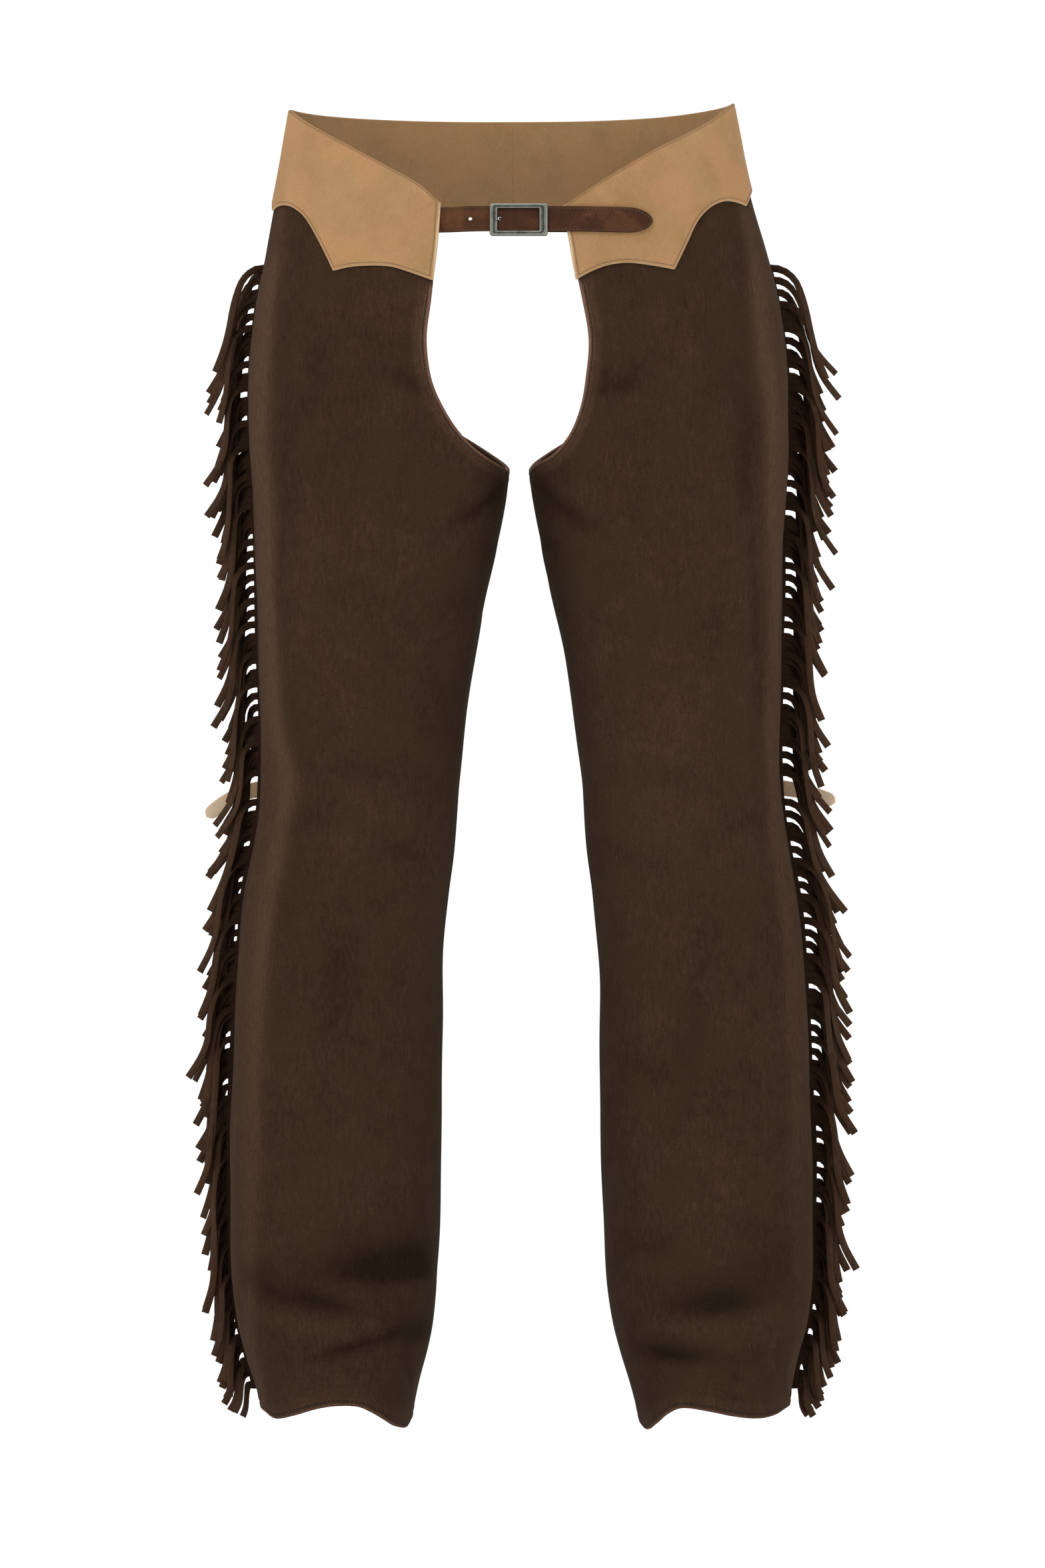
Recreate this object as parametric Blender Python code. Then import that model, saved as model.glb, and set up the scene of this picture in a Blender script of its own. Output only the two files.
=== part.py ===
# Fringed leather chaps: two full-length suede legs under a scalloped yoke, closed in front by a
# narrow strap and buckle, with a cut fringe down each outer seam and a strap behind each knee.
#
# Tables are in millimetres and degrees. +Z is up, the garment faces -Y, and its own left leg is
# at +X. The origin is the middle of the waist, where the wearer holds the yoke.
# Every leather piece is worked out from one surface, the inside of the leg leather. An angle
# on that surface turns about the leg's centre line: 0 is the outer side, 90 the front,
# 180 the inner side and -90 (or 270) the back. An offset lifts a point off the surface.

import math

import bmesh
import bpy
from mathutils import Vector

MM = 0.001

# leather and gaps
WALL = 2.0
SEAM_GAP = 0.3
YOKE_GAP = 0.4
YOKE_LIFT = WALL + YOKE_GAP
YOKE_OUTER = YOKE_LIFT + WALL

# where the seams run, as angles round the leg
OUTER_SEAM = -20.0
INSEAM = 172.0
CROTCH_HEIGHT = -240.0
KNEE_HEIGHT = -482.0

# the body oval that the yoke and the panel tops lie on
BODY_SQUARENESS = 2.35
BODY_SECTIONS = (
    # height, half width, front, back
    (48, 165.0, 104, 106),
    (20, 170.5, 106, 111),
    (-5, 175.0, 109, 116),
    (-36, 181.5, 112, 121),
    (-74, 190.5, 113, 126),
    (-120, 200.5, 112, 129),
    (-180, 206.0, 108, 126),
    (-240, 204.0, 104, 118),
)

# each leg's section, measured from the garment's middle line
LEG_SQUARENESS = 2.25
LEG_SECTIONS = (
    # height, outer side, inner side, front, back
    (-80, 192.0, 9.5, 112, 126),
    (-150, 203.5, 9.5, 106, 118),
    (-215, 205.0, 9.5, 101, 109),
    (-256, 203.0, 11.0, 98, 102),
    (-297, 201.0, 19.0, 95, 97),
    (-338, 200.0, 27.5, 92, 92),
    (-400, 198.0, 39.0, 87, 85),
    (-461, 197.3, 47.0, 83, 80),
    (-498, 199.0, 50.5, 81, 80),
    (-532, 204.5, 53.0, 80, 82),
    (-566, 210.5, 57.5, 79, 86),
    (-615, 215.0, 61.5, 79, 91),
    (-664, 218.0, 62.5, 80, 95),
    (-746, 221.3, 63.3, 84, 99),
    (-810, 221.5, 64.3, 89, 101),
    (-860, 220.3, 67.0, 94, 102),
    (-892, 216.5, 71.0, 98, 103),
    (-913, 210.5, 76.0, 101, 103),
    (-940, 203.5, 83.5, 105, 104),
    (-975, 197.0, 91.0, 109, 105),
)

# the panels turn from the body oval into legs between these heights
BLEND_TOP = -85.0
BLEND_END = -215.0
LEG_PARTING = 4.0
PARTING_SOFTNESS = 25.0

# the garment leans a little to its own left as it goes down
LEAN = (
    # height, shift
    (45, -1.0),
    (-30, 0.0),
    (-90, 3.0),
    (-300, 4.5),
    (-500, 5.5),
    (-750, 6.0),
    (-900, 7.2),
    (-975, 9.5),
)

# the largest soft folds: side 1 is the left leg, -1 the right
FOLD_RADIUS = 95.0
FOLDS = (
    # side, angle, height, half length, half width, slant, depth
    (-1, 100, -922, 62, 16, 14, -4.5),
    (1, 88, -928, 66, 18, -4, -4.5),
    (-1, 62, -890, 60, 16, 24, 2.5),
    (1, 120, -892, 55, 16, -20, 2.5),
    (-1, 30, -560, 290, 13, 90, 2.6),
    (1, 30, -560, 300, 13, 90, 2.6),
    (-1, 28, -215, 105, 14, 90, 2.2),
    (1, 26, -215, 105, 14, 90, 2.2),
    (-1, 245, -482, 85, 17, 0, -3.2),
    (1, 245, -482, 85, 17, 0, -3.2),
    (-1, 262, -528, 58, 17, -16, -3.2),
    (1, 266, -526, 55, 17, 14, -3.2),
    (-1, 226, -430, 52, 17, 18, -3.0),
    (1, 230, -434, 56, 17, -15, -3.0),
    (-1, 250, -905, 60, 18, 10, -4.0),
    (1, 254, -912, 62, 18, -12, -4.0),
    (-1, 215, -300, 60, 20, 35, -3.0),
    (1, 213, -305, 62, 20, -32, -3.0),
)

# edge of the front opening, from the yoke down to the top of the inseam
FRONT_OPENING_RIGHT = (
    # angle, height
    (113.2, -86),
    (111.8, -120),
    (110.7, -150),
    (113.2, -178),
    (120.0, -202),
    (129.7, -221),
    (141.0, -232),
    (156.0, -238),
    (INSEAM, CROTCH_HEIGHT),
)
FRONT_OPENING_LEFT = (
    (120.6, -86),
    (118.8, -120),
    (118.2, -150),
    (121.0, -177),
    (125.2, -201),
    (132.0, -220),
    (142.0, -232),
    (157.0, -237),
    (INSEAM, CROTCH_HEIGHT),
)

# top edge of the back panel, which leaves the seat open
BACK_OPENING = (
    # angle, height
    (302.0, -16),
    (298.0, -58),
    (291.0, -100),
    (280.0, -138),
    (264.0, -170),
    (243.0, -197),
    (219.0, -219),
    (195.0, -233),
    (INSEAM, CROTCH_HEIGHT),
)

BACK_TOP = (
    # angle, height
    (340.0, -15.0),
    (302.0, -16.0),
)

# hem line round each leg
HEM = (
    # angle, height on the right leg, height on the left leg
    (-188, -968.0, -968.0),
    (-90, -972.0, -972.0),
    (-20, -960.0, -960.0),
    (10, -956.0, -955.0),
    (48, -954.0, -952.0),
    (62, -956.0, -953.5),
    (73, -951.5, -953.5),
    (84, -945.2, -950.5),
    (92, -943.0, -947.5),
    (101, -944.0, -945.5),
    (107, -949.0, -946.5),
    (114, -956.0, -952.5),
    (122, -962.5, -960.5),
    (137, -967.5, -968.8),
    (155, -967.5, -968.5),
    (172, -968.0, -968.0),
)

# tops of the front panels, hidden under the yoke
PANEL_TOP = (
    # angle, height
    (OUTER_SEAM, -15.0),
    (45, -22.0),
    (65, -36.0),
    (80, -60.0),
    (95, -78.0),
    (122, -86.0),
)

# how fast the shape of a panel's top fades in the rows below it
TOP_FADE = 1.5

# rows of each panel above and below the crotch, and its columns
ROWS_ABOVE_CROTCH = 8
ROWS_BELOW_CROTCH = 21
COLUMNS_PER_PANEL = 11

# yoke outline, from the front edge round to the centre back
YOKE_LOWER_RIGHT = (
    # angle, height, 1 at a corner
    (112.5, -106.2, 1),
    (104.5, -99.8, 0),
    (97.9, -95.6, 0),
    (90.4, -94.3, 0),
    (80.0, -94.8, 0),
    (72.1, -97.1, 1),
    (67.3, -82.0, 0),
    (62.0, -67.5, 0),
    (55.8, -54.7, 0),
    (48.0, -46.8, 0),
    (40.0, -43.0, 0),
    (30.0, -42.0, 0),
    (20.0, -43.5, 1),
    (8.0, -34.0, 0),
    (-6.0, -28.0, 0),
    (-25.0, -25.0, 0),
    (-60.0, -26.0, 0),
    (-90.0, -27.0, 0),
    (-130.0, -25.0, 1),
)
YOKE_LOWER_LEFT = (
    (120.2, -105.6, 1),
    (115.6, -99.5, 0),
    (110.5, -95.0, 0),
    (103.7, -92.9, 0),
    (94.3, -94.5, 0),
    (84.8, -97.0, 1),
    (78.9, -78.0, 0),
    (72.7, -60.5, 0),
    (65.6, -49.7, 0),
    (58.5, -44.2, 0),
    (52.1, -41.8, 0),
    (42.7, -41.9, 0),
    (35.5, -43.0, 1),
    (24.0, -33.0, 0),
    (10.0, -27.0, 0),
    (-6.0, -25.0, 0),
    (-25.0, -24.5, 0),
    (-60.0, -26.0, 0),
    (-90.0, -27.0, 0),
    (-130.0, -25.0, 1),
)
YOKE_UPPER_RIGHT = (
    (115.8, -49.0),
    (109.4, -34.3),
    (100.0, -22.2),
    (90.5, -11.8),
    (76.0, 1.6),
    (59.4, 14.2),
    (33.5, 29.5),
    (10.0, 36.0),
    (-15.0, 40.0),
    (-50.0, 43.0),
    (-90.0, 45.0),
    (-130.0, 46.0),
)
YOKE_UPPER_LEFT = (
    (122.8, -51.7),
    (112.1, -33.0),
    (101.8, -18.9),
    (90.0, -5.5),
    (76.0, 6.0),
    (58.0, 19.5),
    (34.0, 34.5),
    (10.0, 41.0),
    (-15.0, 44.0),
    (-50.0, 46.0),
    (-90.0, 46.0),
    (-130.0, 46.0),
)
# the front edge leans towards the middle as it rises, by this angle on each side
YOKE_FRONT_LEAN = {1: 2.6, -1: 3.3}
YOKE_LEAN_START = 40.0
YOKE_ROWS = 5
# angles that keep the yoke round over the hip and the back
YOKE_ROUND_ANGLES = (-14, -20, -26, -32, -38, -44, -50, -56, -75, -105, -118)
YOKE_LEAST_STEP = 2.5

# fringe: a strand's path starts at the outer edge of the backing
FRINGE_TOP = -80.0
FRINGE_PITCH = 9.2
FRINGE_COUNT = 95
FRINGE_BACKING = 7.5
FRINGE_HANG = (
    # height, how far out the left strands reach there, the right ones, how far down
    (-80, 1.18, 0.88, 1.0),
    (-150, 1.12, 0.92, 1.0),
    (-300, 1.06, 0.95, 1.0),
    (-400, 1.10, 0.92, 1.0),
    (-480, 1.16, 0.90, 1.0),
    (-560, 1.02, 0.78, 1.0),
    (-640, 0.96, 0.80, 1.0),
    (-700, 0.80, 0.72, 1.0),
    (-750, 0.80, 0.50, 1.0),
    (-800, 0.66, 0.44, 0.95),
    (-850, 0.62, 0.42, 0.80),
    (-900, 0.50, 0.40, 0.62),
    (-945, 0.35, 0.35, 0.33),
)
STRAND_WIDTH = 5.6
STRAND_THICKNESS = 1.3
STRAND_LANE = 6.3
STRAND_LANES = (-2, 0, 2, -1, 1)
STRAND_PATH = (
    # outward, down, turn, share of the lane
    (7.0, 2.0, 18, 0.84),
    (13.5, 14.0, 42, 1.0),
    (16.5, 48.0, 42, 1.0),
    (28.0, 78.0, 24, 1.0),
)
STRAND_SWAYS = {
    # what is uneven: by how much, and its beat from strand to strand
    "reach": (0.06, 2.4),
    "fall": (0.06, 1.7),
    "turn": (8.0, 1.3),
    "kick": (0.30, 2.9),
}

# front strap and buckle, with heights from the origin
STRAP_HEIGHT = -61.2
STRAP_WIDTH = 18.8
STRAP_THICKNESS = 2.2
STRAP_ROOT = -92.0
STRAP_TIP = 102.0
STRAP_STRIDE = 6.0
STRAP_POINT = 18.0
STRAP_POINT_SHARES = (1.0, 0.72, 0.48, 0.27, 0.12, 0.03, 0.0)
STRAP_POINT_LEAST = 0.8
STRAP_HOLES = (-31.4, -9.9, 54.6)
STRAP_HOLE = 3.0
STRAP_COURSE = (
    # across, offset of the strap's middle
    (-92, 0.7),
    (-49, 0.7),
    (-43, 1.8),
    (-35, 4.2),
    (-28, 5.5),
    (-22, 5.8),
    (102, 5.8),
)

BUCKLE_CENTRE = 4.2
BUCKLE_HEIGHT = -62.5
BUCKLE_LENGTH = 43.0
BUCKLE_DEPTH = 24.0
BUCKLE_THICKNESS = 3.0
BUCKLE_LIFT = 7.2
BUCKLE_STEADIES = 14.0
BUCKLE_CORNER = 1.2
WINDOW_CORNER = 0.5
BAR_LEFT = 5.0
BAR_RIGHT = 6.4
BAR_TOP = 3.3
CENTRE_BAR_ACROSS = 3.2
CENTRE_BAR_LIFT = 2.2
CENTRE_BAR_WIDTH = 1.8
CENTRE_BAR_THICKNESS = 1.6
BAR_POST = 1.0
BAR_INSET = 0.01
LOOP_INNER = 1.5
LOOP_OUTER = 2.2
CHAPE_THICKNESS = 1.6
CHAPE_DOUBLE = 12.0
CHAPE_SINGLE = 16.0
CHAPE_END = 76.0
CHAPE_STRIDE = 7.0
CHAPE_SLOT = 4.0
CHAPE_SLOT_REACH = 4.5
TONGUE_WIDTH = 1.8
TONGUE_TIP = 8.6

# knee straps
KNEE_STRAP_WIDTH = 14.0
KNEE_STRAP_ENTERS = 9
KNEE_STRAP_ROOT = 0.3
KNEE_STRAP_LEAVES = 3
KNEE_STRAP_FREE = {1: 92.0, -1: 96.0}
KNEE_STRAP_STEPS = 10
KNEE_STRAP_PEEL = 6.0
KNEE_STRAP_HEADING = -3.0
KNEE_STRAP_SETTLES = 0.5
KNEE_STRAP_DROOP = {1: 28.0, -1: 54.0}
KNEE_STRAP_DROOP_FROM = 0.2
KNEE_STRAP_DROOP_OVER = 1.1
KNEE_STRAP_TAPER = 0.25
KNEE_STRAP_TIP = 0.42

LEATHERS = {
    # name: colour, roughness, metallic
    "brown_suede": ((0.045, 0.026, 0.017, 1), 0.95, 0.0),
    "tan_suede": ((0.48, 0.29, 0.145, 1), 0.92, 0.0),
    "strap_leather": ((0.105, 0.042, 0.021, 1), 0.7, 0.0),
    "antique_nickel": ((0.19, 0.195, 0.16, 1), 0.38, 1.0),
}


def ease(share):
    share = min(max(share, 0.0), 1.0)
    return share * share * (3 - 2 * share)


def slope_at(table, row, column):
    """Slope of a smooth curve through a table's rows."""
    before = table[max(row - 1, 0)]
    after = table[min(row + 1, len(table) - 1)]
    return (after[column] - before[column]) / (after[0] - before[0])


def read(table, place, column):
    """Value of a column on the smooth curve through a table's rows."""
    rising = table[-1][0] > table[0][0]
    row = 0
    for step in range(len(table) - 1):
        passed = place >= table[step][0] if rising else place <= table[step][0]
        if passed:
            row = step
    here = table[row]
    there = table[row + 1]
    span = there[0] - here[0]
    t = min(max((place - here[0]) / span, 0.0), 1.0)
    start = slope_at(table, row, column) * span
    end = slope_at(table, row + 1, column) * span
    value = (2 * t**3 - 3 * t**2 + 1) * here[column] + (t**3 - 2 * t**2 + t) * start
    return value + (3 * t**2 - 2 * t**3) * there[column] + (t**3 - t**2) * end


def straight(table, place, column):
    """Value of a column on the straight lines between a table's rows."""
    for here, there in zip(table, table[1:]):
        low, high = sorted((here[0], there[0]))
        if low <= place <= high:
            share = (place - here[0]) / (there[0] - here[0])
            return here[column] + (there[column] - here[column]) * share
    nearest = table[0] if abs(place - table[0][0]) < abs(place - table[-1][0]) else table[-1]
    return nearest[column]


def scallop(table, angle):
    """Height of an edge that is smooth between its corners."""
    corners = [row for row in range(len(table)) if table[row][2]]
    for first, last in zip(corners, corners[1:]):
        if angle >= table[last][0]:
            return read(table[first : last + 1], angle, 1)
    return table[-1][1]


def oval(across, along, half_across, half_along, squareness):
    """Distance to a rounded oval, for the direction (across, along)."""
    reach = abs(across / half_across) ** squareness + abs(along / half_along) ** squareness
    return reach ** (-1 / squareness)


def leg_centre(height):
    if height >= BLEND_END:
        below = (read(LEG_SECTIONS, BLEND_END, 1) + read(LEG_SECTIONS, BLEND_END, 2)) / 2
        return below
    return (read(LEG_SECTIONS, height, 1) + read(LEG_SECTIONS, height, 2)) / 2


def body_reach(angle, height):
    """Distance from a leg's centre line to the body oval, held short of the other leg."""
    half = read(BODY_SECTIONS, height, 1)
    front = read(BODY_SECTIONS, height, 2)
    back = read(BODY_SECTIONS, height, 3)
    centre = leg_centre(height)
    across = math.cos(math.radians(angle))
    forward = math.sin(math.radians(angle))
    deep = front if forward > 0 else back
    low, high = 0.0, 2 * half
    for _ in range(40):
        middle = (low + high) / 2
        place = abs((centre + middle * across) / half) ** BODY_SQUARENESS
        place += abs(middle * forward / deep) ** BODY_SQUARENESS
        if place < 1:
            low = middle
        else:
            high = middle
    reach = (low + high) / 2
    if across < 0 and height < BLEND_TOP:
        parting = (centre - LEG_PARTING) / -across
        near = max(PARTING_SOFTNESS - abs(reach - parting), 0) / PARTING_SOFTNESS
        reach = min(reach, parting) - near * near * PARTING_SOFTNESS / 4
    return reach


def leg_reach(angle, height):
    """Distance from a leg's centre line to its own rounded section."""
    centre = leg_centre(height)
    across = math.cos(math.radians(angle))
    forward = math.sin(math.radians(angle))
    outer = read(LEG_SECTIONS, height, 1) - centre
    inner = centre - read(LEG_SECTIONS, height, 2)
    front = read(LEG_SECTIONS, height, 3)
    back = read(LEG_SECTIONS, height, 4)
    half_across = outer if across > 0 else inner
    return oval(across, forward, half_across, front if forward > 0 else back, LEG_SQUARENESS)


def folds(side, angle, height):
    """How far the soft folds push the leather out, or let it sink."""
    push = 0.0
    for fold_side, fold_angle, fold_height, length, width, slant, depth in FOLDS:
        if fold_side != side:
            continue
        turn = (angle - fold_angle + 180) % 360 - 180
        around = math.radians(turn) * FOLD_RADIUS
        up = height - fold_height
        lean = math.radians(slant)
        along = around * math.cos(lean) + up * math.sin(lean)
        aside = up * math.cos(lean) - around * math.sin(lean)
        push += depth * math.exp(-((along / length) ** 2) - (aside / width) ** 2)
    return push


def bare_point(side, angle, height):
    """Point on the inside of the leg leather, in millimetres."""
    share = ease((BLEND_TOP - height) / (BLEND_TOP - BLEND_END))
    reach = 0.0
    if share < 1:
        reach += (1 - share) * body_reach(angle, height)
    if share > 0:
        reach += share * leg_reach(angle, height)
    reach += folds(side, angle, height)
    across = leg_centre(height) + reach * math.cos(math.radians(angle))
    forward = -reach * math.sin(math.radians(angle))
    return Vector((side * across + read(LEAN, height, 1), forward, height))


def outward(side, angle, height):
    """Direction that points out of the leather."""
    around = bare_point(side, angle + 0.8, height) - bare_point(side, angle - 0.8, height)
    up = bare_point(side, angle, height + 1.5) - bare_point(side, angle, height - 1.5)
    return (up.cross(around) * side).normalized()


def leather_point(side, angle, height, offset):
    return bare_point(side, angle, height) + outward(side, angle, height) * offset


def leather_material(name):
    material = bpy.data.materials.get(name)
    if material is None:
        colour, roughness, metallic = LEATHERS[name]
        material = bpy.data.materials.new(name)
        material.use_nodes = True
        material.diffuse_color = colour
        shader = material.node_tree.nodes["Principled BSDF"]
        shader.inputs["Base Color"].default_value = colour
        shader.inputs["Roughness"].default_value = roughness
        shader.inputs["Metallic"].default_value = metallic
    return material


def place_body(name, points, faces, material):
    """Makes one closed body from points in millimetres, with its faces turned outwards."""
    mesh = bpy.data.meshes.new(name)
    mesh.from_pydata([tuple(Vector(point) * MM) for point in points], [], faces)
    body = bmesh.new()
    body.from_mesh(mesh)
    bmesh.ops.recalc_face_normals(body, faces=body.faces)
    body.to_mesh(mesh)
    body.free()
    mesh.materials.append(leather_material(material))
    piece = bpy.data.objects.new(name, mesh)
    bpy.context.scene.collection.objects.link(piece)
    return piece


def place_wall(name, inside, outside, material):
    """Closes a wall between two equal grids of points, each a list of rows."""
    rows = len(inside)
    columns = len(inside[0])
    points = [point for row in inside for point in row]
    points += [point for row in outside for point in row]
    far = rows * columns

    def at(row, column):
        return row * columns + column

    faces = []
    for row in range(rows - 1):
        for column in range(columns - 1):
            quad = (at(row, column), at(row, column + 1), at(row + 1, column + 1), at(row + 1, column))
            faces.append(quad)
            faces.append(tuple(far + corner for corner in reversed(quad)))
    rim = [at(0, column) for column in range(columns)]
    rim += [at(row, columns - 1) for row in range(1, rows)]
    rim += [at(rows - 1, column) for column in range(columns - 2, -1, -1)]
    rim += [at(row, 0) for row in range(rows - 2, 0, -1)]
    for start, end in zip(rim, rim[1:] + rim[:1]):
        faces.append((end, start, far + start, far + end))
    return place_body(name, points, faces, material)


def place_rings(name, rings, material):
    """Closes a bar between rings of four points."""
    points = [point for ring in rings for point in ring]
    faces = [(0, 1, 2, 3)]
    for ring in range(len(rings) - 1):
        start = ring * 4
        for side in range(4):
            there = (side + 1) % 4
            faces.append((start + side, start + 4 + side, start + 4 + there, start + there))
    last = (len(rings) - 1) * 4
    faces.append((last + 3, last + 2, last + 1, last))
    return place_body(name, points, faces, material)


def prism_faces(count):
    """Faces of a prism between two equal outlines."""
    faces = [tuple(range(count)), tuple(range(2 * count - 1, count - 1, -1))]
    for corner in range(count):
        there = (corner + 1) % count
        faces.append((corner, corner + count, there + count, there))
    return faces


def place_profile(name, outline, height, half, material):
    """Raises an outline, given as (across, offset) in front of the belly, about one height."""
    base = belly_front(BUCKLE_CENTRE)
    levels = (height - half, height + half)
    points = [(across, base - lift, level) for level in levels for across, lift in outline]
    return place_body(name, points, prism_faces(len(outline)), material)


def combine(piece, tool, operation):
    """Cuts a tool from a piece, or joins it on."""
    change = piece.modifiers.new(operation.title(), "BOOLEAN")
    change.operation = operation
    change.solver = "EXACT"
    change.object = tool
    tool.hide_render = True
    tool.display_type = "WIRE"


def seam_edge(seam, side_of_seam, radius=90.0):
    """A seam's angle, moved half a gap to one side."""
    return seam + side_of_seam * math.degrees(SEAM_GAP / 2 / radius)


def soft_ramp(share):
    """Half way between a straight ramp and a soft one."""
    return (share + ease(share)) / 2


def opening_row(row, seam_angle, opening, top):
    """A row above the crotch, which runs from the outer seam to the edge of the opening."""
    down = row / ROWS_ABOVE_CROTCH
    start = top[0][1] + (CROTCH_HEIGHT - top[0][1]) * down
    end_angle, end = opening[row]
    line = []
    for column in range(COLUMNS_PER_PANEL + 1):
        share = column / COLUMNS_PER_PANEL
        angle = seam_angle + (end_angle - seam_angle) * share
        height = start + (end - start) * soft_ramp(share)
        top_angle = top[0][0] + (top[-1][0] - top[0][0]) * share
        ramp = top[0][1] + (opening[0][1] - top[0][1]) * soft_ramp(share)
        if column < COLUMNS_PER_PANEL:
            height += (straight(top, top_angle, 1) - ramp) * (1 - down) ** TOP_FADE
        line.append((angle, height))
    return line


def hem_height(side, angle):
    """Height of the hem, for angles that count on past the back of the leg."""
    turn = angle if angle <= INSEAM + 0.5 else angle - 360
    return read(HEM, turn, 2 if side > 0 else 1)


def panel_rows(side, seam_angle, inseam_angle, opening, top):
    """Rows of (angle, height), from the top of a leg panel to its hem."""
    grid = [opening_row(row, seam_angle, opening, top) for row in range(ROWS_ABOVE_CROTCH)]
    for row in range(ROWS_BELOW_CROTCH + 1):
        down = row / ROWS_BELOW_CROTCH
        line = []
        for column in range(COLUMNS_PER_PANEL + 1):
            angle = seam_angle + (inseam_angle - seam_angle) * column / COLUMNS_PER_PANEL
            line.append((angle, CROTCH_HEIGHT + (hem_height(side, angle) - CROTCH_HEIGHT) * down))
        grid.append(line)
    return grid


def build_leg(side, name):
    """Both panels of a leg. Gives back their outer points, the front one's first."""
    opening = FRONT_OPENING_LEFT if side > 0 else FRONT_OPENING_RIGHT
    front = (seam_edge(OUTER_SEAM, 1), seam_edge(INSEAM, -1), opening, PANEL_TOP)
    back = (seam_edge(OUTER_SEAM, -1) + 360, seam_edge(INSEAM, 1), BACK_OPENING, BACK_TOP)
    panels = []
    for panel, cut in ((f"leg_front_{name}", front), (f"leg_back_{name}", back)):
        grid = panel_rows(side, *cut)
        inside = [[leather_point(side, *spot, 0.0) for spot in line] for line in grid]
        outside = [[leather_point(side, *spot, WALL) for spot in line] for line in grid]
        place_wall(panel, inside, outside, "brown_suede")
        panels.append(outside)
    return panels


def on_panel(rows, column, height):
    """Point of a panel's column at one height, on the straight run between its rows."""
    for above, below in zip(rows, rows[1:]):
        high = above[column]
        low = below[column]
        if high.z >= height >= low.z:
            return high.lerp(low, (high.z - height) / (high.z - low.z))
    return rows[-1][column]


def yoke_angles(lower):
    """The edge's own angles, with those of the panel columns below and of the round back."""
    angles = [row[0] for row in lower]
    reach = lower[0][0] - OUTER_SEAM
    angles += [OUTER_SEAM + reach * column / COLUMNS_PER_PANEL for column in range(COLUMNS_PER_PANEL)]
    angles += YOKE_ROUND_ANGLES
    angles.sort(reverse=True)
    corners = [row[0] for row in lower if row[2]]
    kept = []
    for angle in angles:
        if kept and kept[-1] - angle < YOKE_LEAST_STEP:
            if angle in corners:
                kept[-1] = angle
            continue
        kept.append(angle)
    return kept


def yoke_grid(side):
    lower = YOKE_LOWER_LEFT if side > 0 else YOKE_LOWER_RIGHT
    upper = YOKE_UPPER_LEFT if side > 0 else YOKE_UPPER_RIGHT
    angles = yoke_angles(lower)
    lines = []
    for row in range(YOKE_ROWS + 1):
        up = row / YOKE_ROWS
        line = []
        for angle in angles:
            low = scallop(lower, angle)
            forward = (angle - YOKE_LEAN_START) / (lower[0][0] - YOKE_LEAN_START)
            top_angle = angle + YOKE_FRONT_LEAN[side] * ease(forward)
            high = read(upper, top_angle, 1)
            line.append((angle + (top_angle - angle) * up, low + (high - low) * up))
        lines.append(line)
    return lines


def build_yoke(side, name):
    grid = yoke_grid(side)
    inside = [[leather_point(side, *spot, YOKE_LIFT) for spot in line] for line in grid]
    outside = [[leather_point(side, *spot, YOKE_OUTER) for spot in line] for line in grid]
    for rows in (inside, outside):
        for row in rows:
            middle = read(LEAN, row[-1].z, 1)
            row[-1].x = middle + side * SEAM_GAP / 2
    place_wall(f"yoke_{name}", inside, outside, "tan_suede")


def knee_strap_passes(height):
    """The fringe is parted where a knee strap comes through."""
    return abs(height - KNEE_HEIGHT) < FRINGE_PITCH


def on_outer_seam(panels, height, out):
    """Middle of the outer seam at one height, a seam's gap off the leather."""
    front, back = panels
    return (on_panel(front, 0, height) + on_panel(back, 0, height)) / 2 + out * SEAM_GAP


def away_from_seam(side, height):
    """Level directions off the outer seam: straight out, and to the back."""
    out = outward(side, OUTER_SEAM, height)
    out.z = 0
    out.normalize()
    return out, Vector((-out.y, out.x, 0)) * side


def strand_sway(what, index):
    """A steady unevenness from one strand to the next."""
    size, beat = STRAND_SWAYS[what]
    return size * math.sin((index + 1) * beat)


def build_fringe(side, name, panels):
    """A narrow backing off the outer seam, with strands that share its outer edge."""
    points = []
    faces = []
    previous = None
    half = STRAND_THICKNESS / 2
    for index in range(FRINGE_COUNT):
        root = FRINGE_TOP - index * FRINGE_PITCH
        levels = []
        for height in (root + STRAND_WIDTH / 2, root - STRAND_WIDTH / 2):
            out, back = away_from_seam(side, height)
            seam = on_outer_seam(panels, height, out)
            edge = seam + out * FRINGE_BACKING
            levels.append(len(points))
            points += [seam - back * half, edge - back * half, edge + back * half, seam + back * half]
        upper, lower = levels
        if previous is None:
            faces.append((upper, upper + 1, upper + 2, upper + 3))
        else:
            for corner in range(4):
                there = (corner + 1) % 4
                faces.append((previous + corner, upper + corner, upper + there, previous + there))
        for corner in (0, 2, 3):
            there = (corner + 1) % 4
            faces.append((upper + corner, lower + corner, lower + there, upper + there))
        if knee_strap_passes(root):
            faces.append((upper + 1, lower + 1, lower + 2, upper + 2))
        else:
            spots = strand_spots(side, index, root, panels)
            add_strand(side, index, spots, (upper, lower), points, faces)
        previous = lower
    faces.append((previous + 3, previous + 2, previous + 1, previous))
    place_body(f"fringe_{name}", points, faces, "brown_suede")


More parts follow.
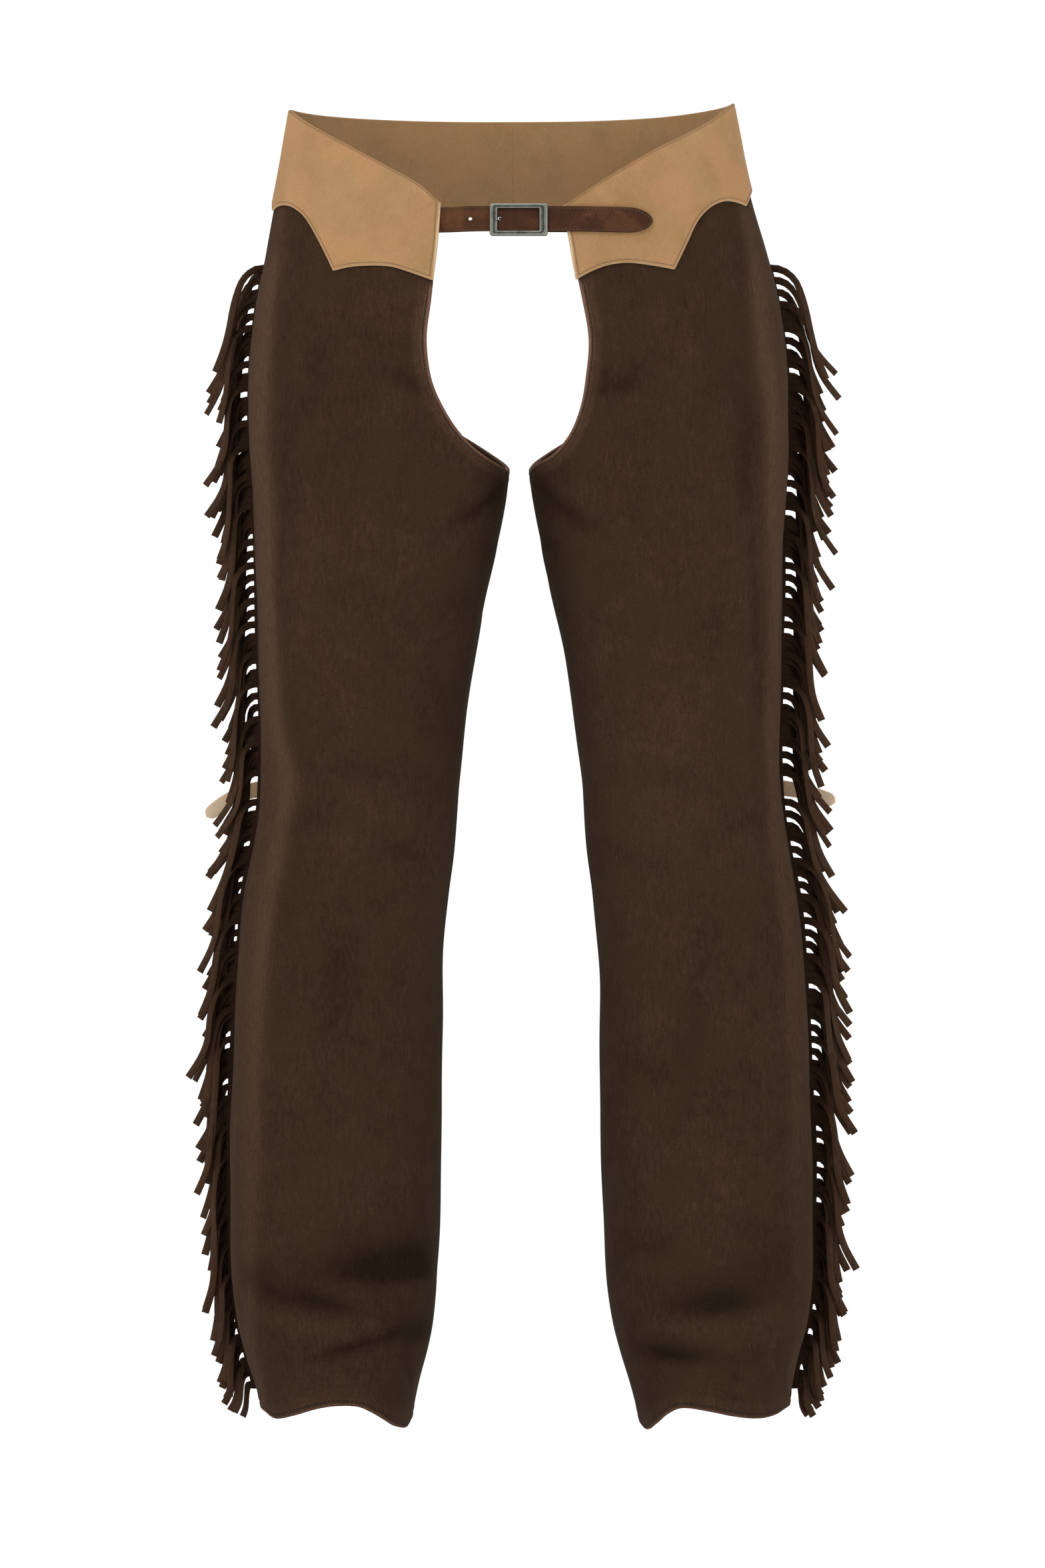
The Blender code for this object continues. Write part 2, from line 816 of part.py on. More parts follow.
def strand_spots(side, index, root, panels):
    """Middle points of a strand. The first lies on the backing's edge."""
    out, back = away_from_seam(side, root)
    seam = on_outer_seam(panels, root, out)
    start = seam + out * FRINGE_BACKING
    lane = STRAND_LANES[index % len(STRAND_LANES)] * STRAND_LANE
    reach = read(FRINGE_HANG, root, 1 if side > 0 else 2) * (1 + strand_sway("reach", index))
    fall = read(FRINGE_HANG, root, 3) * (1 + strand_sway("fall", index))
    kick = (STRAND_PATH[-1][0] - STRAND_PATH[-2][0]) * strand_sway("kick", index)
    spots = [start]
    for row in STRAND_PATH:
        drop = row[1] * fall
        leg_below = on_outer_seam(panels, root - drop, out)
        flare = max((leg_below - seam).dot(out), 0.0)
        outward_step = row[0] + (kick if row is STRAND_PATH[-1] else 0)
        spot = start + out * (outward_step * reach + flare) + back * lane * row[3]
        spots.append(spot - Vector((0, 0, drop)))
    return spots


def add_strand(side, index, spots, levels, points, faces):
    back = away_from_seam(side, spots[0].z)[1]
    upper, lower = levels
    ring = [upper + 1, lower + 1, lower + 2, upper + 2]
    for step in range(1, len(spots)):
        ahead = spots[min(step + 1, len(spots) - 1)] - spots[step - 1]
        ahead.normalize()
        flat = back - ahead * back.dot(ahead)
        flat.normalize()
        wide = ahead.cross(flat) * side
        turn = math.radians(STRAND_PATH[step - 1][2] + strand_sway("turn", index))
        half_wide = (wide * math.cos(turn) + flat * math.sin(turn)) * STRAND_WIDTH / 2
        half_thick = (flat * math.cos(turn) - wide * math.sin(turn)) * STRAND_THICKNESS / 2
        first = len(points)
        for across, through in ((1, -1), (-1, -1), (-1, 1), (1, 1)):
            points.append(spots[step] + half_wide * across + half_thick * through)
        fresh = [first, first + 1, first + 2, first + 3]
        for corner in range(4):
            there = (corner + 1) % 4
            faces.append((ring[corner], fresh[corner], fresh[there], ring[there]))
        ring = fresh
    faces.append(tuple(reversed(ring)))


def belly_front(across, height=STRAP_HEIGHT):
    """Front of the body oval."""
    half = read(BODY_SECTIONS, height, 1)
    front = read(BODY_SECTIONS, height, 2)
    share = abs((across - read(LEAN, height, 1)) / half) ** BODY_SQUARENESS
    return -front * (1 - share) ** (1 / BODY_SQUARENESS)


def belly_point(across, height, offset):
    """Point in front of the belly, held upright behind the buckle."""
    apart = abs(across - BUCKLE_CENTRE) - BUCKLE_LENGTH / 2
    level = STRAP_HEIGHT + (height - STRAP_HEIGHT) * ease(apart / BUCKLE_STEADIES)
    slope = (belly_front(across + 1, level) - belly_front(across - 1, level)) / 2
    normal = Vector((slope, -1)).normalized()
    front = belly_front(across, level)
    return Vector((across + normal.x * offset, front + normal.y * offset, height))


def build_strap():
    count = int((STRAP_TIP - STRAP_POINT - STRAP_ROOT) / STRAP_STRIDE)
    stride = (STRAP_TIP - STRAP_POINT - STRAP_ROOT) / count
    stations = [STRAP_ROOT + stride * step for step in range(count)]
    stations += [STRAP_TIP - STRAP_POINT * share for share in STRAP_POINT_SHARES]
    rings = []
    for across in stations:
        from_tip = min((STRAP_TIP - across) / STRAP_POINT, 1.0)
        half = STRAP_WIDTH / 2 * math.sqrt(1 - (1 - from_tip) ** 2)
        half = max(half, STRAP_POINT_LEAST)
        middle = straight(STRAP_COURSE, across, 1)
        behind = middle - STRAP_THICKNESS / 2
        before = middle + STRAP_THICKNESS / 2
        corners = ((-half, behind), (-half, before), (half, before), (half, behind))
        rings.append([belly_point(across, STRAP_HEIGHT + rise, lift) for rise, lift in corners])
    strap = place_rings("front_strap", rings, "strap_leather")
    for number, across in enumerate(STRAP_HOLES):
        spot = belly_point(across, STRAP_HEIGHT, straight(STRAP_COURSE, across, 1))
        bpy.ops.mesh.primitive_cylinder_add(
            vertices=10,
            radius=STRAP_HOLE / 2 * MM,
            depth=4 * STRAP_THICKNESS * MM,
            location=spot * MM,
            rotation=(math.radians(90), 0, 0),
        )
        punch = bpy.context.object
        punch.name = f"punch_{number}"
        combine(strap, punch, "DIFFERENCE")


def cornered(left, right, low, high, cut):
    """A rectangle with its corners cut off."""
    return [
        (left + cut, low), (right - cut, low), (right, low + cut), (right, high - cut),
        (right - cut, high), (left + cut, high), (left, high - cut), (left, low + cut),
    ]


def build_buckle_frame():
    """A flat rectangular frame, with a centre bar let down behind it like a staple."""
    left = BUCKLE_CENTRE - BUCKLE_LENGTH / 2
    right = BUCKLE_CENTRE + BUCKLE_LENGTH / 2
    low = BUCKLE_HEIGHT - BUCKLE_DEPTH / 2
    high = BUCKLE_HEIGHT + BUCKLE_DEPTH / 2
    outside = cornered(left, right, low, high, BUCKLE_CORNER)
    window = cornered(left + BAR_LEFT, right - BAR_RIGHT, low + BAR_TOP, high - BAR_TOP, WINDOW_CORNER)
    base = belly_front(BUCKLE_CENTRE)
    points = []
    for lift in (BUCKLE_LIFT, BUCKLE_LIFT + BUCKLE_THICKNESS):
        for outline in (outside, window):
            points += [(across, base - lift, height) for across, height in outline]
    faces = []
    count = len(outside)
    for corner in range(count):
        there = (corner + 1) % count
        for start, end in ((0, 1), (3, 2), (2, 0), (1, 3)):
            one = start * count
            two = end * count
            faces.append((one + corner, one + there, two + there, two + corner))
    frame = place_body("buckle_frame", points, faces, "antique_nickel")

    bar_left = CENTRE_BAR_ACROSS - CENTRE_BAR_WIDTH / 2
    bar_right = CENTRE_BAR_ACROSS + CENTRE_BAR_WIDTH / 2
    behind = CENTRE_BAR_LIFT - CENTRE_BAR_THICKNESS / 2
    before = CENTRE_BAR_LIFT + CENTRE_BAR_THICKNESS / 2
    sunk = BUCKLE_LIFT + BUCKLE_THICKNESS / 2
    foot = low + BAR_INSET
    head = high - BAR_INSET
    staple = [
        (foot, behind), (head, behind), (head, sunk), (head - BAR_POST, sunk),
        (head - BAR_POST, before), (foot + BAR_POST, before), (foot + BAR_POST, sunk), (foot, sunk),
    ]
    sides = (bar_left, bar_right)
    points = [(across, base - lift, height) for across in sides for height, lift in staple]
    bar = place_body("centre_bar", points, prism_faces(len(staple)), "antique_nickel")
    combine(frame, bar, "UNION")


def round_points(middle, radius, turns):
    spots = []
    for turn in turns:
        across = radius * math.cos(math.radians(turn))
        spots.append((middle[0] + across, middle[1] + radius * math.sin(math.radians(turn))))
    return spots


def build_chape():
    """The short strap from the left yoke, folded round the centre bar and slotted for the tongue."""
    half = STRAP_WIDTH / 2
    bar = (CENTRE_BAR_ACROSS, CENTRE_BAR_LIFT)
    runs = int((CHAPE_END - CHAPE_SINGLE) / CHAPE_STRIDE)
    stations = [CHAPE_SINGLE + (CHAPE_END - CHAPE_SINGLE) * run / runs for run in range(runs + 1)]
    outline = round_points(bar, LOOP_OUTER, range(90, 271, 30))
    outline += [(CHAPE_DOUBLE, 0.0)] + [(across, 0.0) for across in stations]
    outline += [(across, CHAPE_THICKNESS) for across in reversed(stations)]
    outline += [(CHAPE_DOUBLE, 2 * LOOP_OUTER)]
    base = belly_front(BUCKLE_CENTRE)
    points = []
    for height in (STRAP_HEIGHT - half, STRAP_HEIGHT + half):
        for across, lift in outline:
            bent = belly_point(across, height, lift)
            level = Vector((across, base - lift, height))
            points.append(level.lerp(bent, ease((across - bar[0]) / CHAPE_DOUBLE)))
    chape = place_body("buckle_chape", points, prism_faces(len(outline)), "strap_leather")
    eye = round_points(bar, LOOP_INNER, range(0, 360, 60))
    loop = place_profile("chape_loop", eye, STRAP_HEIGHT, half + 2, "strap_leather")
    combine(chape, loop, "DIFFERENCE")
    left = bar[0] - CHAPE_SLOT_REACH
    right = bar[0] + CHAPE_SLOT_REACH
    slot = [(left, -WALL), (right, -WALL), (right, BUCKLE_LIFT), (left, BUCKLE_LIFT)]
    gap = place_profile("chape_slot", slot, STRAP_HEIGHT, CHAPE_SLOT / 2, "strap_leather")
    combine(chape, gap, "DIFFERENCE")


def build_tongue():
    """The prong, hooked round the centre bar, with its tip up through a hole in the strap."""
    bar = (CENTRE_BAR_ACROSS, CENTRE_BAR_LIFT)
    half = TONGUE_WIDTH / 2
    pin = STRAP_HOLES[1]
    outline = round_points(bar, LOOP_OUTER, range(150, -151, -30))
    outline += [(pin + half, bar[1] - half), (pin - half, bar[1] - half / 3)]
    outline += [(pin - half, TONGUE_TIP - half / 2), (pin, TONGUE_TIP)]
    outline += [(pin + half, TONGUE_TIP - half / 2), (pin + half, bar[1] + half)]
    tongue = place_profile("buckle_tongue", outline, STRAP_HEIGHT, half, "antique_nickel")
    eye = round_points(bar, LOOP_INNER, range(0, 360, 45))
    loop = place_profile("tongue_loop", eye, STRAP_HEIGHT, TONGUE_WIDTH, "antique_nickel")
    combine(tongue, loop, "DIFFERENCE")


def build_knee_strap(side, name, panel):
    """Round the back of the knee on the back panel, and then free out to the side."""
    half = KNEE_STRAP_WIDTH / 2
    rings = []
    span = seam_edge(INSEAM, 1) - seam_edge(OUTER_SEAM, -1) - 360
    for column in range(KNEE_STRAP_ENTERS, KNEE_STRAP_LEAVES - 1, -1):
        angle = OUTER_SEAM + 360 + span * column / COLUMNS_PER_PANEL
        away = outward(side, angle, KNEE_HEIGHT)
        low = on_panel(panel, column, KNEE_HEIGHT - half)
        high = on_panel(panel, column, KNEE_HEIGHT + half)
        if column == KNEE_STRAP_ENTERS:
            low = low.lerp(on_panel(panel, column - 1, KNEE_HEIGHT - half), KNEE_STRAP_ROOT)
            high = high.lerp(on_panel(panel, column - 1, KNEE_HEIGHT + half), KNEE_STRAP_ROOT)
        inside = away * SEAM_GAP
        outside = away * (SEAM_GAP + WALL)
        rings.append([low + inside, low + outside, high + outside, high + inside])
    last = sum(rings[-1], Vector()) / 4
    before = sum(rings[-2], Vector()) / 4
    along = last - before
    heading = math.atan2(along.y, along.x * side) + math.radians(KNEE_STRAP_PEEL)
    settled = math.radians(KNEE_STRAP_HEADING)
    stride = KNEE_STRAP_FREE[side] / KNEE_STRAP_STEPS
    spot = last
    for step in range(1, KNEE_STRAP_STEPS + 1):
        share = step / KNEE_STRAP_STEPS
        turn = heading + (settled - heading) * ease(share / KNEE_STRAP_SETTLES)
        drooped = ease((share - KNEE_STRAP_DROOP_FROM) / KNEE_STRAP_DROOP_OVER)
        droop = math.radians(KNEE_STRAP_DROOP[side]) * drooped
        level = Vector((side * math.cos(turn), math.sin(turn), 0))
        away = Vector((-side * math.sin(turn), math.cos(turn), 0))
        forward = level * math.cos(droop) - Vector((0, 0, math.sin(droop)))
        up = level * math.sin(droop) + Vector((0, 0, math.cos(droop)))
        spot = spot + forward * stride
        narrow = 1 - KNEE_STRAP_TAPER * share if step < KNEE_STRAP_STEPS else KNEE_STRAP_TIP
        ring = []
        for lift, rise in ((-1, -1), (1, -1), (1, 1), (-1, 1)):
            ring.append(spot + away * lift * WALL / 2 + up * rise * half * narrow)
        rings.append(ring)
    place_rings(f"knee_strap_{name}", rings, "tan_suede")


def clear_scene():
    for thing in list(bpy.data.objects):
        bpy.data.objects.remove(thing, do_unlink=True)


def main():
    clear_scene()
    for side, name in ((1, "left"), (-1, "right")):
        panels = build_leg(side, name)
        build_yoke(side, name)
        build_fringe(side, name, panels)
        build_knee_strap(side, name, panels[1])
    build_strap()
    build_chape()
    build_buckle_frame()
    build_tongue()


if __name__ == "__main__":
    main()
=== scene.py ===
# Looks for the fringed leather chaps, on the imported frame.
# Tables are in millimetres and degrees, as the leather is cut: +Z up, the front faces -Y,
# side 1 is the garment's own left leg at +X. An angle runs round a leg's centre line: 0 is
# the outer side, 90 the front, 180 the inner side, 270 the back.
import math

import bmesh
import bpy
import numpy as np
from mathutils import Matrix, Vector


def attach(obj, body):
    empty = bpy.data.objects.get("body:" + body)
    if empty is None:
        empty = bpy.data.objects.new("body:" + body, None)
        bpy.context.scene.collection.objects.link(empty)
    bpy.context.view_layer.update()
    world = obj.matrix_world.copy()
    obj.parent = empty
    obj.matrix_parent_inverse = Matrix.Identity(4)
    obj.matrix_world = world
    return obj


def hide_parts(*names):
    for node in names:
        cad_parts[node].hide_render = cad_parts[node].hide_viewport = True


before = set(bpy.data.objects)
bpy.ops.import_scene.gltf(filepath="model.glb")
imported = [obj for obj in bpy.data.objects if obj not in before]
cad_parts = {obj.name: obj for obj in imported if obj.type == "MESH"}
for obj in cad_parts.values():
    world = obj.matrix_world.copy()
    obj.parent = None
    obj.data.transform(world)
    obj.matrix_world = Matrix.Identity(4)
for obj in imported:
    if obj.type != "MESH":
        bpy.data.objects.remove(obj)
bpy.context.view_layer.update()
print("frame loaded with", len(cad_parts), "nodes")

mm = 0.001
wall = 2.0  # leather thickness
seamGap = 0.3
yokeLift = wall + 0.4  # inside of the yoke, over the leg panels
yokeOuter = yokeLift + wall
sides = ((1, "left"), (-1, "right"))


studio = {
    "eye": (0.007, -3.2, -0.480),
    "halfHeight": 0.603,  # what the frame shows above and below its middle, at the waist
    "floor": (-1.043, 30.0),  # height and radius
    "floorColour": (0.88, 0.88, 0.87),
    "floorGlow": 0.55,
    "room": {"From Min": -0.5, "From Max": 0.8, "To Min": 0.22, "To Max": 0.98},  # light by height
    "backdrop": 1.02,
    "lights": (
        # name, place, aimed at, width, height, power
        ("keyLight", (-1.1, -2.6, 2.3), (0.0, 0.0, -0.55), 1.6, 1.2, 78),
        ("fillLight", (1.9, -3.1, 0.5), (0.0, 0.0, -0.5), 1.6, 1.8, 16),
        ("leftStrip", (2.1, -0.75, -0.35), (0.15, 0.0, -0.5), 0.5, 2.0, 16),
        ("rightStrip", (-2.1, -0.75, -0.35), (-0.15, 0.0, -0.5), 0.5, 2.0, 16),
        ("topLight", (0.0, 0.4, 2.2), (0.0, 0.0, -0.4), 2.0, 2.0, 24),
        ("backLight", (0.4, 2.8, 0.8), (0.0, 0.0, -0.5), 2.2, 2.2, 34),
    ),
}


def placeObject(name, data):
    thing = bpy.data.objects.new(name, data)
    bpy.context.scene.collection.objects.link(thing)
    return thing


def aim(thing, place, target):
    thing.location = place
    thing.rotation_euler = (Vector(target) - Vector(place)).to_track_quat("-Z", "Y").to_euler()


def addNode(tree, kind, settings, sockets):
    # settings are made first, then the sockets' values or links; a colour may leave out its alpha
    made = tree.nodes.new(kind)
    for what, value in (settings or {}).items():
        setattr(made, what, value)
    for what, value in (sockets or {}).items():
        value, socket = getattr(value, "socket", value), made.inputs[what]
        if isinstance(value, bpy.types.NodeSocket):
            tree.links.new(value, socket)
        else:
            plain = socket.type != "RGBA" or len(value) == 4
            socket.default_value = value if plain else (*value, 1)
    return made.outputs


def buildRoom():
    # the room lights the leather more from above, and stays white behind it
    room = Recipe("paleRoom", bpy.data.worlds.new("paleRoom"))
    ways = room.node("TexCoord", output="Generated")
    up = room.node("SeparateXYZ", sockets={0: ways}, output="Z")
    rise = room.node("MapRange", sockets={"Value": up, **studio["room"]})
    lit, shown = (room.node("Background", sockets={"Color": (1, 1, 1), "Strength": strength})
                  for strength in (rise, studio["backdrop"]))
    direct = room.node("LightPath", output="Is Camera Ray")
    return room.close(room.node("MixShader", sockets={0: direct, 1: lit, 2: shown}), "World")


def buildStudio():
    scene = bpy.context.scene
    eye = studio["eye"]
    camera = placeObject("camera", bpy.data.cameras.new("camera"))
    aim(camera, eye, (eye[0], 0, eye[2]))
    camera.data.sensor_fit = "VERTICAL"
    camera.data.angle = 2 * math.atan(studio["halfHeight"] / -eye[1])
    camera.data.clip_end = 100
    scene.camera = camera
    for name, place, target, width, height, power in studio["lights"]:
        lamp = bpy.data.lights.new(name, "AREA")
        lamp.shape = "RECTANGLE"
        lamp.size, lamp.size_y, lamp.energy = width, height, power
        aim(placeObject(name, lamp), place, target)
    scene.world = buildRoom()
    scene.view_settings.view_transform = "Standard"
    mesh = bpy.data.meshes.new("studioFloor")
    low, radius = studio["floor"]
    turns = np.linspace(0, 2 * math.pi, 65)[:-1]
    corners = [(radius * math.cos(turn), radius * math.sin(turn), low) for turn in turns]
    mesh.from_pydata(corners, [], [tuple(range(len(corners)))])
    paint = Recipe("paleFloor")
    reach = paint.node("VectorMath", {"operation": "LENGTH"}, {0: paint.place()}, "Value")
    glow = paint.grey(paint.between(reach, 0.5, 3.0) * studio["floorGlow"])
    mesh.materials.append(paint.finish({
        "Base Color": studio["floorColour"], "Roughness": 0.9, "Specular IOR Level": 0.2,
        "Emission Strength": 1.0, "Emission Color": glow}))
    floor = placeObject("studioFloor", mesh)
    floor.visible_camera = False
    print("studio ready")


class Wire:
    # a shader socket that can be added, multiplied and so on
    def __init__(self, recipe, socket):
        self.recipe, self.socket = recipe, socket

    def work(self, operation, first, second):
        return self.recipe.node("Math", {"operation": operation}, {0: first, 1: second})

    def __add__(self, other):
        return self.work("ADD", self, other)

    def __sub__(self, other):
        return self.work("SUBTRACT", self, other)

    def __rsub__(self, other):
        return self.work("SUBTRACT", other, self)

    def __mul__(self, other):
        return self.work("MULTIPLY", self, other)

    __radd__, __rmul__ = __add__, __mul__


class Recipe:
    # the nodes of a material or of the world
    def __init__(self, name, owner=None):
        self.owner = owner or bpy.data.materials.new(name)
        self.owner.use_nodes = True
        self.tree = self.owner.node_tree
        self.tree.nodes.clear()

    def node(self, kind, settings=None, sockets=None, output=0):
        return Wire(self, addNode(self.tree, "ShaderNode" + kind, settings, sockets)[output])

    def place(self, stretch=None):
        spot = self.node("TexCoord", output="Object")
        return self.node("Mapping", sockets={"Vector": spot, "Scale": stretch}) if stretch else spot

    def noise(self, scale, detail, roughness, stretch=None, distortion=0.0):
        return self.node("TexNoise", sockets={
            "Vector": self.place(stretch), "Scale": scale, "Detail": detail, "Roughness": roughness,
            "Distortion": distortion}, output="Fac")

    def between(self, value, low, high):
        # 0 below low, 1 above high, soft between
        return self.node("MapRange", {"interpolation_type": "SMOOTHSTEP"},
                         {"Value": value, "From Min": low, "From Max": high})

    def mix(self, factor, first, second, blend="MIX"):
        settings = {"data_type": "RGBA", "blend_type": blend}
        return self.node("Mix", settings, {0: factor, 6: first, 7: second}, 2)

    def grey(self, tone):
        return self.node("CombineColor", sockets={0: tone, 1: tone, 2: tone})

    def attribute(self, name):
        return self.node("Attribute", {"attribute_name": name}, output="Fac")

    def bump(self, height, strength, distance, under=None):
        sockets = {"Height": height, "Strength": strength, "Distance": distance}
        return self.node("Bump", sockets=sockets | ({"Normal": under} if under else {}))

    def close(self, shader, kind="Material"):
        end = self.tree.nodes.new("ShaderNodeOutput" + kind)
        self.tree.links.new(shader.socket, end.inputs["Surface"])
        return self.owner

    def finish(self, sockets):
        return self.close(self.node("BsdfPrincipled", sockets=sockets))


buildStudio()


suedeLooks = {
    # "nap" holds the shares of clouds, patches and streaks
    "brownSuede": {
        "deep": (0.0190, 0.0102, 0.0056), "base": (0.0262, 0.0138, 0.0079),
        "light": (0.0350, 0.0192, 0.0116), "other": (0.0252, 0.0150, 0.0078),
        # the first colour on the next line is partly painted light, for the legs' sheen streak and
        # ridges
        "litAndBrushed": (0.0520, 0.0292, 0.0180), "edge": (0.0850, 0.0440, 0.0275),
        "rim": (0.0980, 0.0530, 0.0335),
        "sheen": 0.01, "sheenTint": (0.75, 0.60, 0.48), "nap": (0.30, 0.26, 0.44), "flecks": 0.60,
    },
    "fringeSuede": {
        "deep": (0.0235, 0.0126, 0.0073), "base": (0.0350, 0.0190, 0.0112),
        "light": (0.0450, 0.0252, 0.0155), "other": (0.0372, 0.0182, 0.0100),
        "litAndBrushed": (0.0590, 0.0332, 0.0212), "edge": (0.0590, 0.0302, 0.0186),
        "rim": (0.0590, 0.0318, 0.0202),
        "sheen": 0.01, "sheenTint": (0.75, 0.60, 0.48), "nap": (0.30, 0.26, 0.44), "flecks": 0.60,
    },
    "tanSuede": {
        "deep": (0.212, 0.121, 0.054), "base": (0.240, 0.142, 0.066),
        "light": (0.262, 0.159, 0.078), "other": (0.276, 0.146, 0.070),
        "litAndBrushed": (0.290, 0.182, 0.098), "edge": (0.315, 0.205, 0.115),
        "rim": (0.390, 0.285, 0.170),
        "sheen": 0.03, "sheenTint": (1.0, 0.88, 0.72), "nap": (0.50, 0.35, 0.15), "flecks": 0.24,
    },
    "kneeStrapSuede": {
        "deep": (0.255, 0.176, 0.108), "base": (0.300, 0.211, 0.134),
        "light": (0.330, 0.236, 0.152), "other": (0.305, 0.205, 0.128),
        # the first colour on the next line is painted light, for the strap's part shaded by the leg
        "litAndBrushed": (0.640, 0.420, 0.240), "edge": (0.380, 0.280, 0.185),
        "rim": (0.440, 0.335, 0.230),
        "sheen": 0.03, "sheenTint": (1.0, 0.90, 0.78), "nap": (0.50, 0.35, 0.15), "flecks": 0.24,
    },
}
suedeGrain = {
    # scale, detail, roughness, stretch, distortion
    "cloud": (11, 5, 0.55, None, 0.3), "patch": (60, 5, 0.6),
    "streaks": (420, 4, 0.6, (1, 1, 0.30)), "fibre": (1500, 3, 0.7), "stain": (26, 3, 0.5),
}


def suede(name):
    # brushed leather: cloudy nap, short fibres, lighter where it is turned, rubbed or cut,
    # lighter with painted light and darker with painted shade where the marks ask for it
    looks = suedeLooks[name]
    skin = Recipe(name)
    cloud, patch, streaks, fibre, stain = (skin.noise(*row) for row in suedeGrain.values())
    cloudy, patchy, streaky = looks["nap"]
    nap = cloud * cloudy + patch * patchy + streaks * streaky
    # painted light on sheen streaks, crease ridges and the knee straps' shaded part; also rubbed
    # nap
    litAndBrushed = skin.attribute("litAndBrushed") * (skin.between(streaks, 0.30, 0.70) * 0.45 + 0.55)
    turned = skin.attribute("turned") * (skin.between(streaks + fibre, 0.70, 1.30) * 0.5 + 0.5)
    colour = looks["deep"]
    for factor, other in (
            (skin.between(nap, 0.36, 0.54), "base"), (skin.between(nap, 0.50, 0.66), "light"),
            (skin.between(stain, 0.45, 0.65) * 0.7, "other"), (litAndBrushed, "litAndBrushed"),
            (turned, "edge"), (skin.attribute("rim"), "rim")):
        colour = skin.mix(factor, colour, looks[other])
    # painted shade in creases, stitch grooves, beside the streak and at the fringe roots; also dark
    # seams
    shade = 1 - skin.attribute("sunk") * 0.62
    flecks = skin.between(fibre, 0.30, 0.70) * looks["flecks"] + (1 - looks["flecks"] / 2)
    soft = skin.bump(patch + streaks * (1.25 * streaky), 0.35, 0.0008)
    return skin.finish({
        "Base Color": skin.mix(1.0, colour, skin.grey(shade * flecks), "MULTIPLY"),
        "Roughness": 0.82 + streaks * 0.22, "Normal": skin.bump(fibre, 0.30, 0.0003, soft),
        "Specular IOR Level": 0.02, "Sheen Weight": looks["sheen"], "Sheen Roughness": 0.45,
        "Sheen Tint": looks["sheenTint"]})


strapLooks = {
    "deep": (0.031, 0.0118, 0.0055), "base": (0.060, 0.0232, 0.0094),
    "worn": (0.088, 0.0360, 0.0158), "edge": (0.026, 0.0105, 0.0052),
    "dark": (0.041, 0.0162, 0.0075), "fresh": (0.02, -0.08), "grain": 520,
}


def strapLeather():
    # smooth brown leather: fine pebble grain, redder at one end, burnished edges
    looks = strapLooks
    skin = Recipe("strapLeather")
    cloud, fibre = skin.noise(38, 5, 0.6), skin.noise(900, 4, 0.6)
    pebbles = {"Vector": skin.place(), "Scale": looks["grain"]}
    grain = skin.node("TexVoronoi", {"feature": "DISTANCE_TO_EDGE"}, pebbles)
    across = skin.node("SeparateXYZ", sockets={0: skin.place()}, output="X")
    fresh = skin.between(across, *looks["fresh"])
    base = skin.mix(fresh * 0.75 + 0.25, looks["dark"], looks["base"])
    colour = skin.mix(skin.between(cloud, 0.40, 0.62), looks["deep"], base)
    for factor, other in (
            (skin.between(cloud + fibre, 0.98, 1.30) * 0.5, "worn"),
            (skin.attribute("turned") * 0.6, "worn"), (skin.attribute("rim"), "edge")):
        colour = skin.mix(factor, colour, looks[other])
    # painted shade in the stitch grooves
    tone = 1 - skin.attribute("sunk") * 0.5
    creased = skin.bump(skin.between(grain, 0.0, 0.22), 0.35, 0.0003)
    return skin.finish({
        "Base Color": skin.mix(1.0, colour, skin.grey(tone), "MULTIPLY"),
        "Roughness": 0.58 + cloud * 0.22, "Normal": skin.bump(fibre, 0.2, 0.0003, creased),
        "Specular IOR Level": 0.07})


metalLooks = {
    "bright": (0.165, 0.172, 0.148), "base": (0.058, 0.063, 0.053),
    "tarnish": (0.022, 0.024, 0.019),
}


def antiqueNickel():
    # greyish nickel: darker in the hollows, rubbed bright on the edges
    looks = metalLooks
    metal = Recipe("antiqueNickel")
    cloud, scratch = metal.noise(160, 5, 0.6), metal.noise(900, 3, 0.6, (0.2, 1, 1))
    worn = metal.between(metal.attribute("rim") + cloud * 0.5, 0.45, 1.05)
    colour = metal.mix(metal.between(cloud, 0.38, 0.62), looks["tarnish"], looks["base"])
    colour = metal.mix(worn, colour, looks["bright"])
    return metal.finish({
        "Base Color": metal.mix(metal.attribute("sunk") * 0.8, colour, looks["tarnish"]),
        "Metallic": 0.9, "Roughness": 0.30 + cloud * 0.18 + scratch * 0.10,
        "Normal": metal.bump(cloud * 0.7 + scratch * 0.3, 0.18, 0.0004)})


threadLooks = {
    "brownThread": (0.013, 0.0075, 0.005), "yokeThread": (0.120, 0.060, 0.030),
    "paleThread": (0.095, 0.050, 0.028),
}


def thread(name):
    # twisted sewing thread, darker in its twists
    light = threadLooks[name]
    yarn = Recipe(name)
    twist = yarn.noise(1600, 3, 0.6)
    colour = yarn.mix(yarn.between(twist, 0.35, 0.65), tuple(part * 0.55 for part in light), light)
    return yarn.finish({
        "Base Color": colour, "Roughness": 0.8, "Normal": yarn.bump(twist, 0.5, 0.0003)})


finishes = {name: suede(name) for name in suedeLooks}
finishes.update(strapLeather=strapLeather(), antiqueNickel=antiqueNickel())
finishes.update((name, thread(name)) for name in threadLooks)
print("finishes ready:", ", ".join(finishes))


outerSeam = -20.0
inseam = 172.0
crotchHeight = -240.0
kneeHeight = -482.0

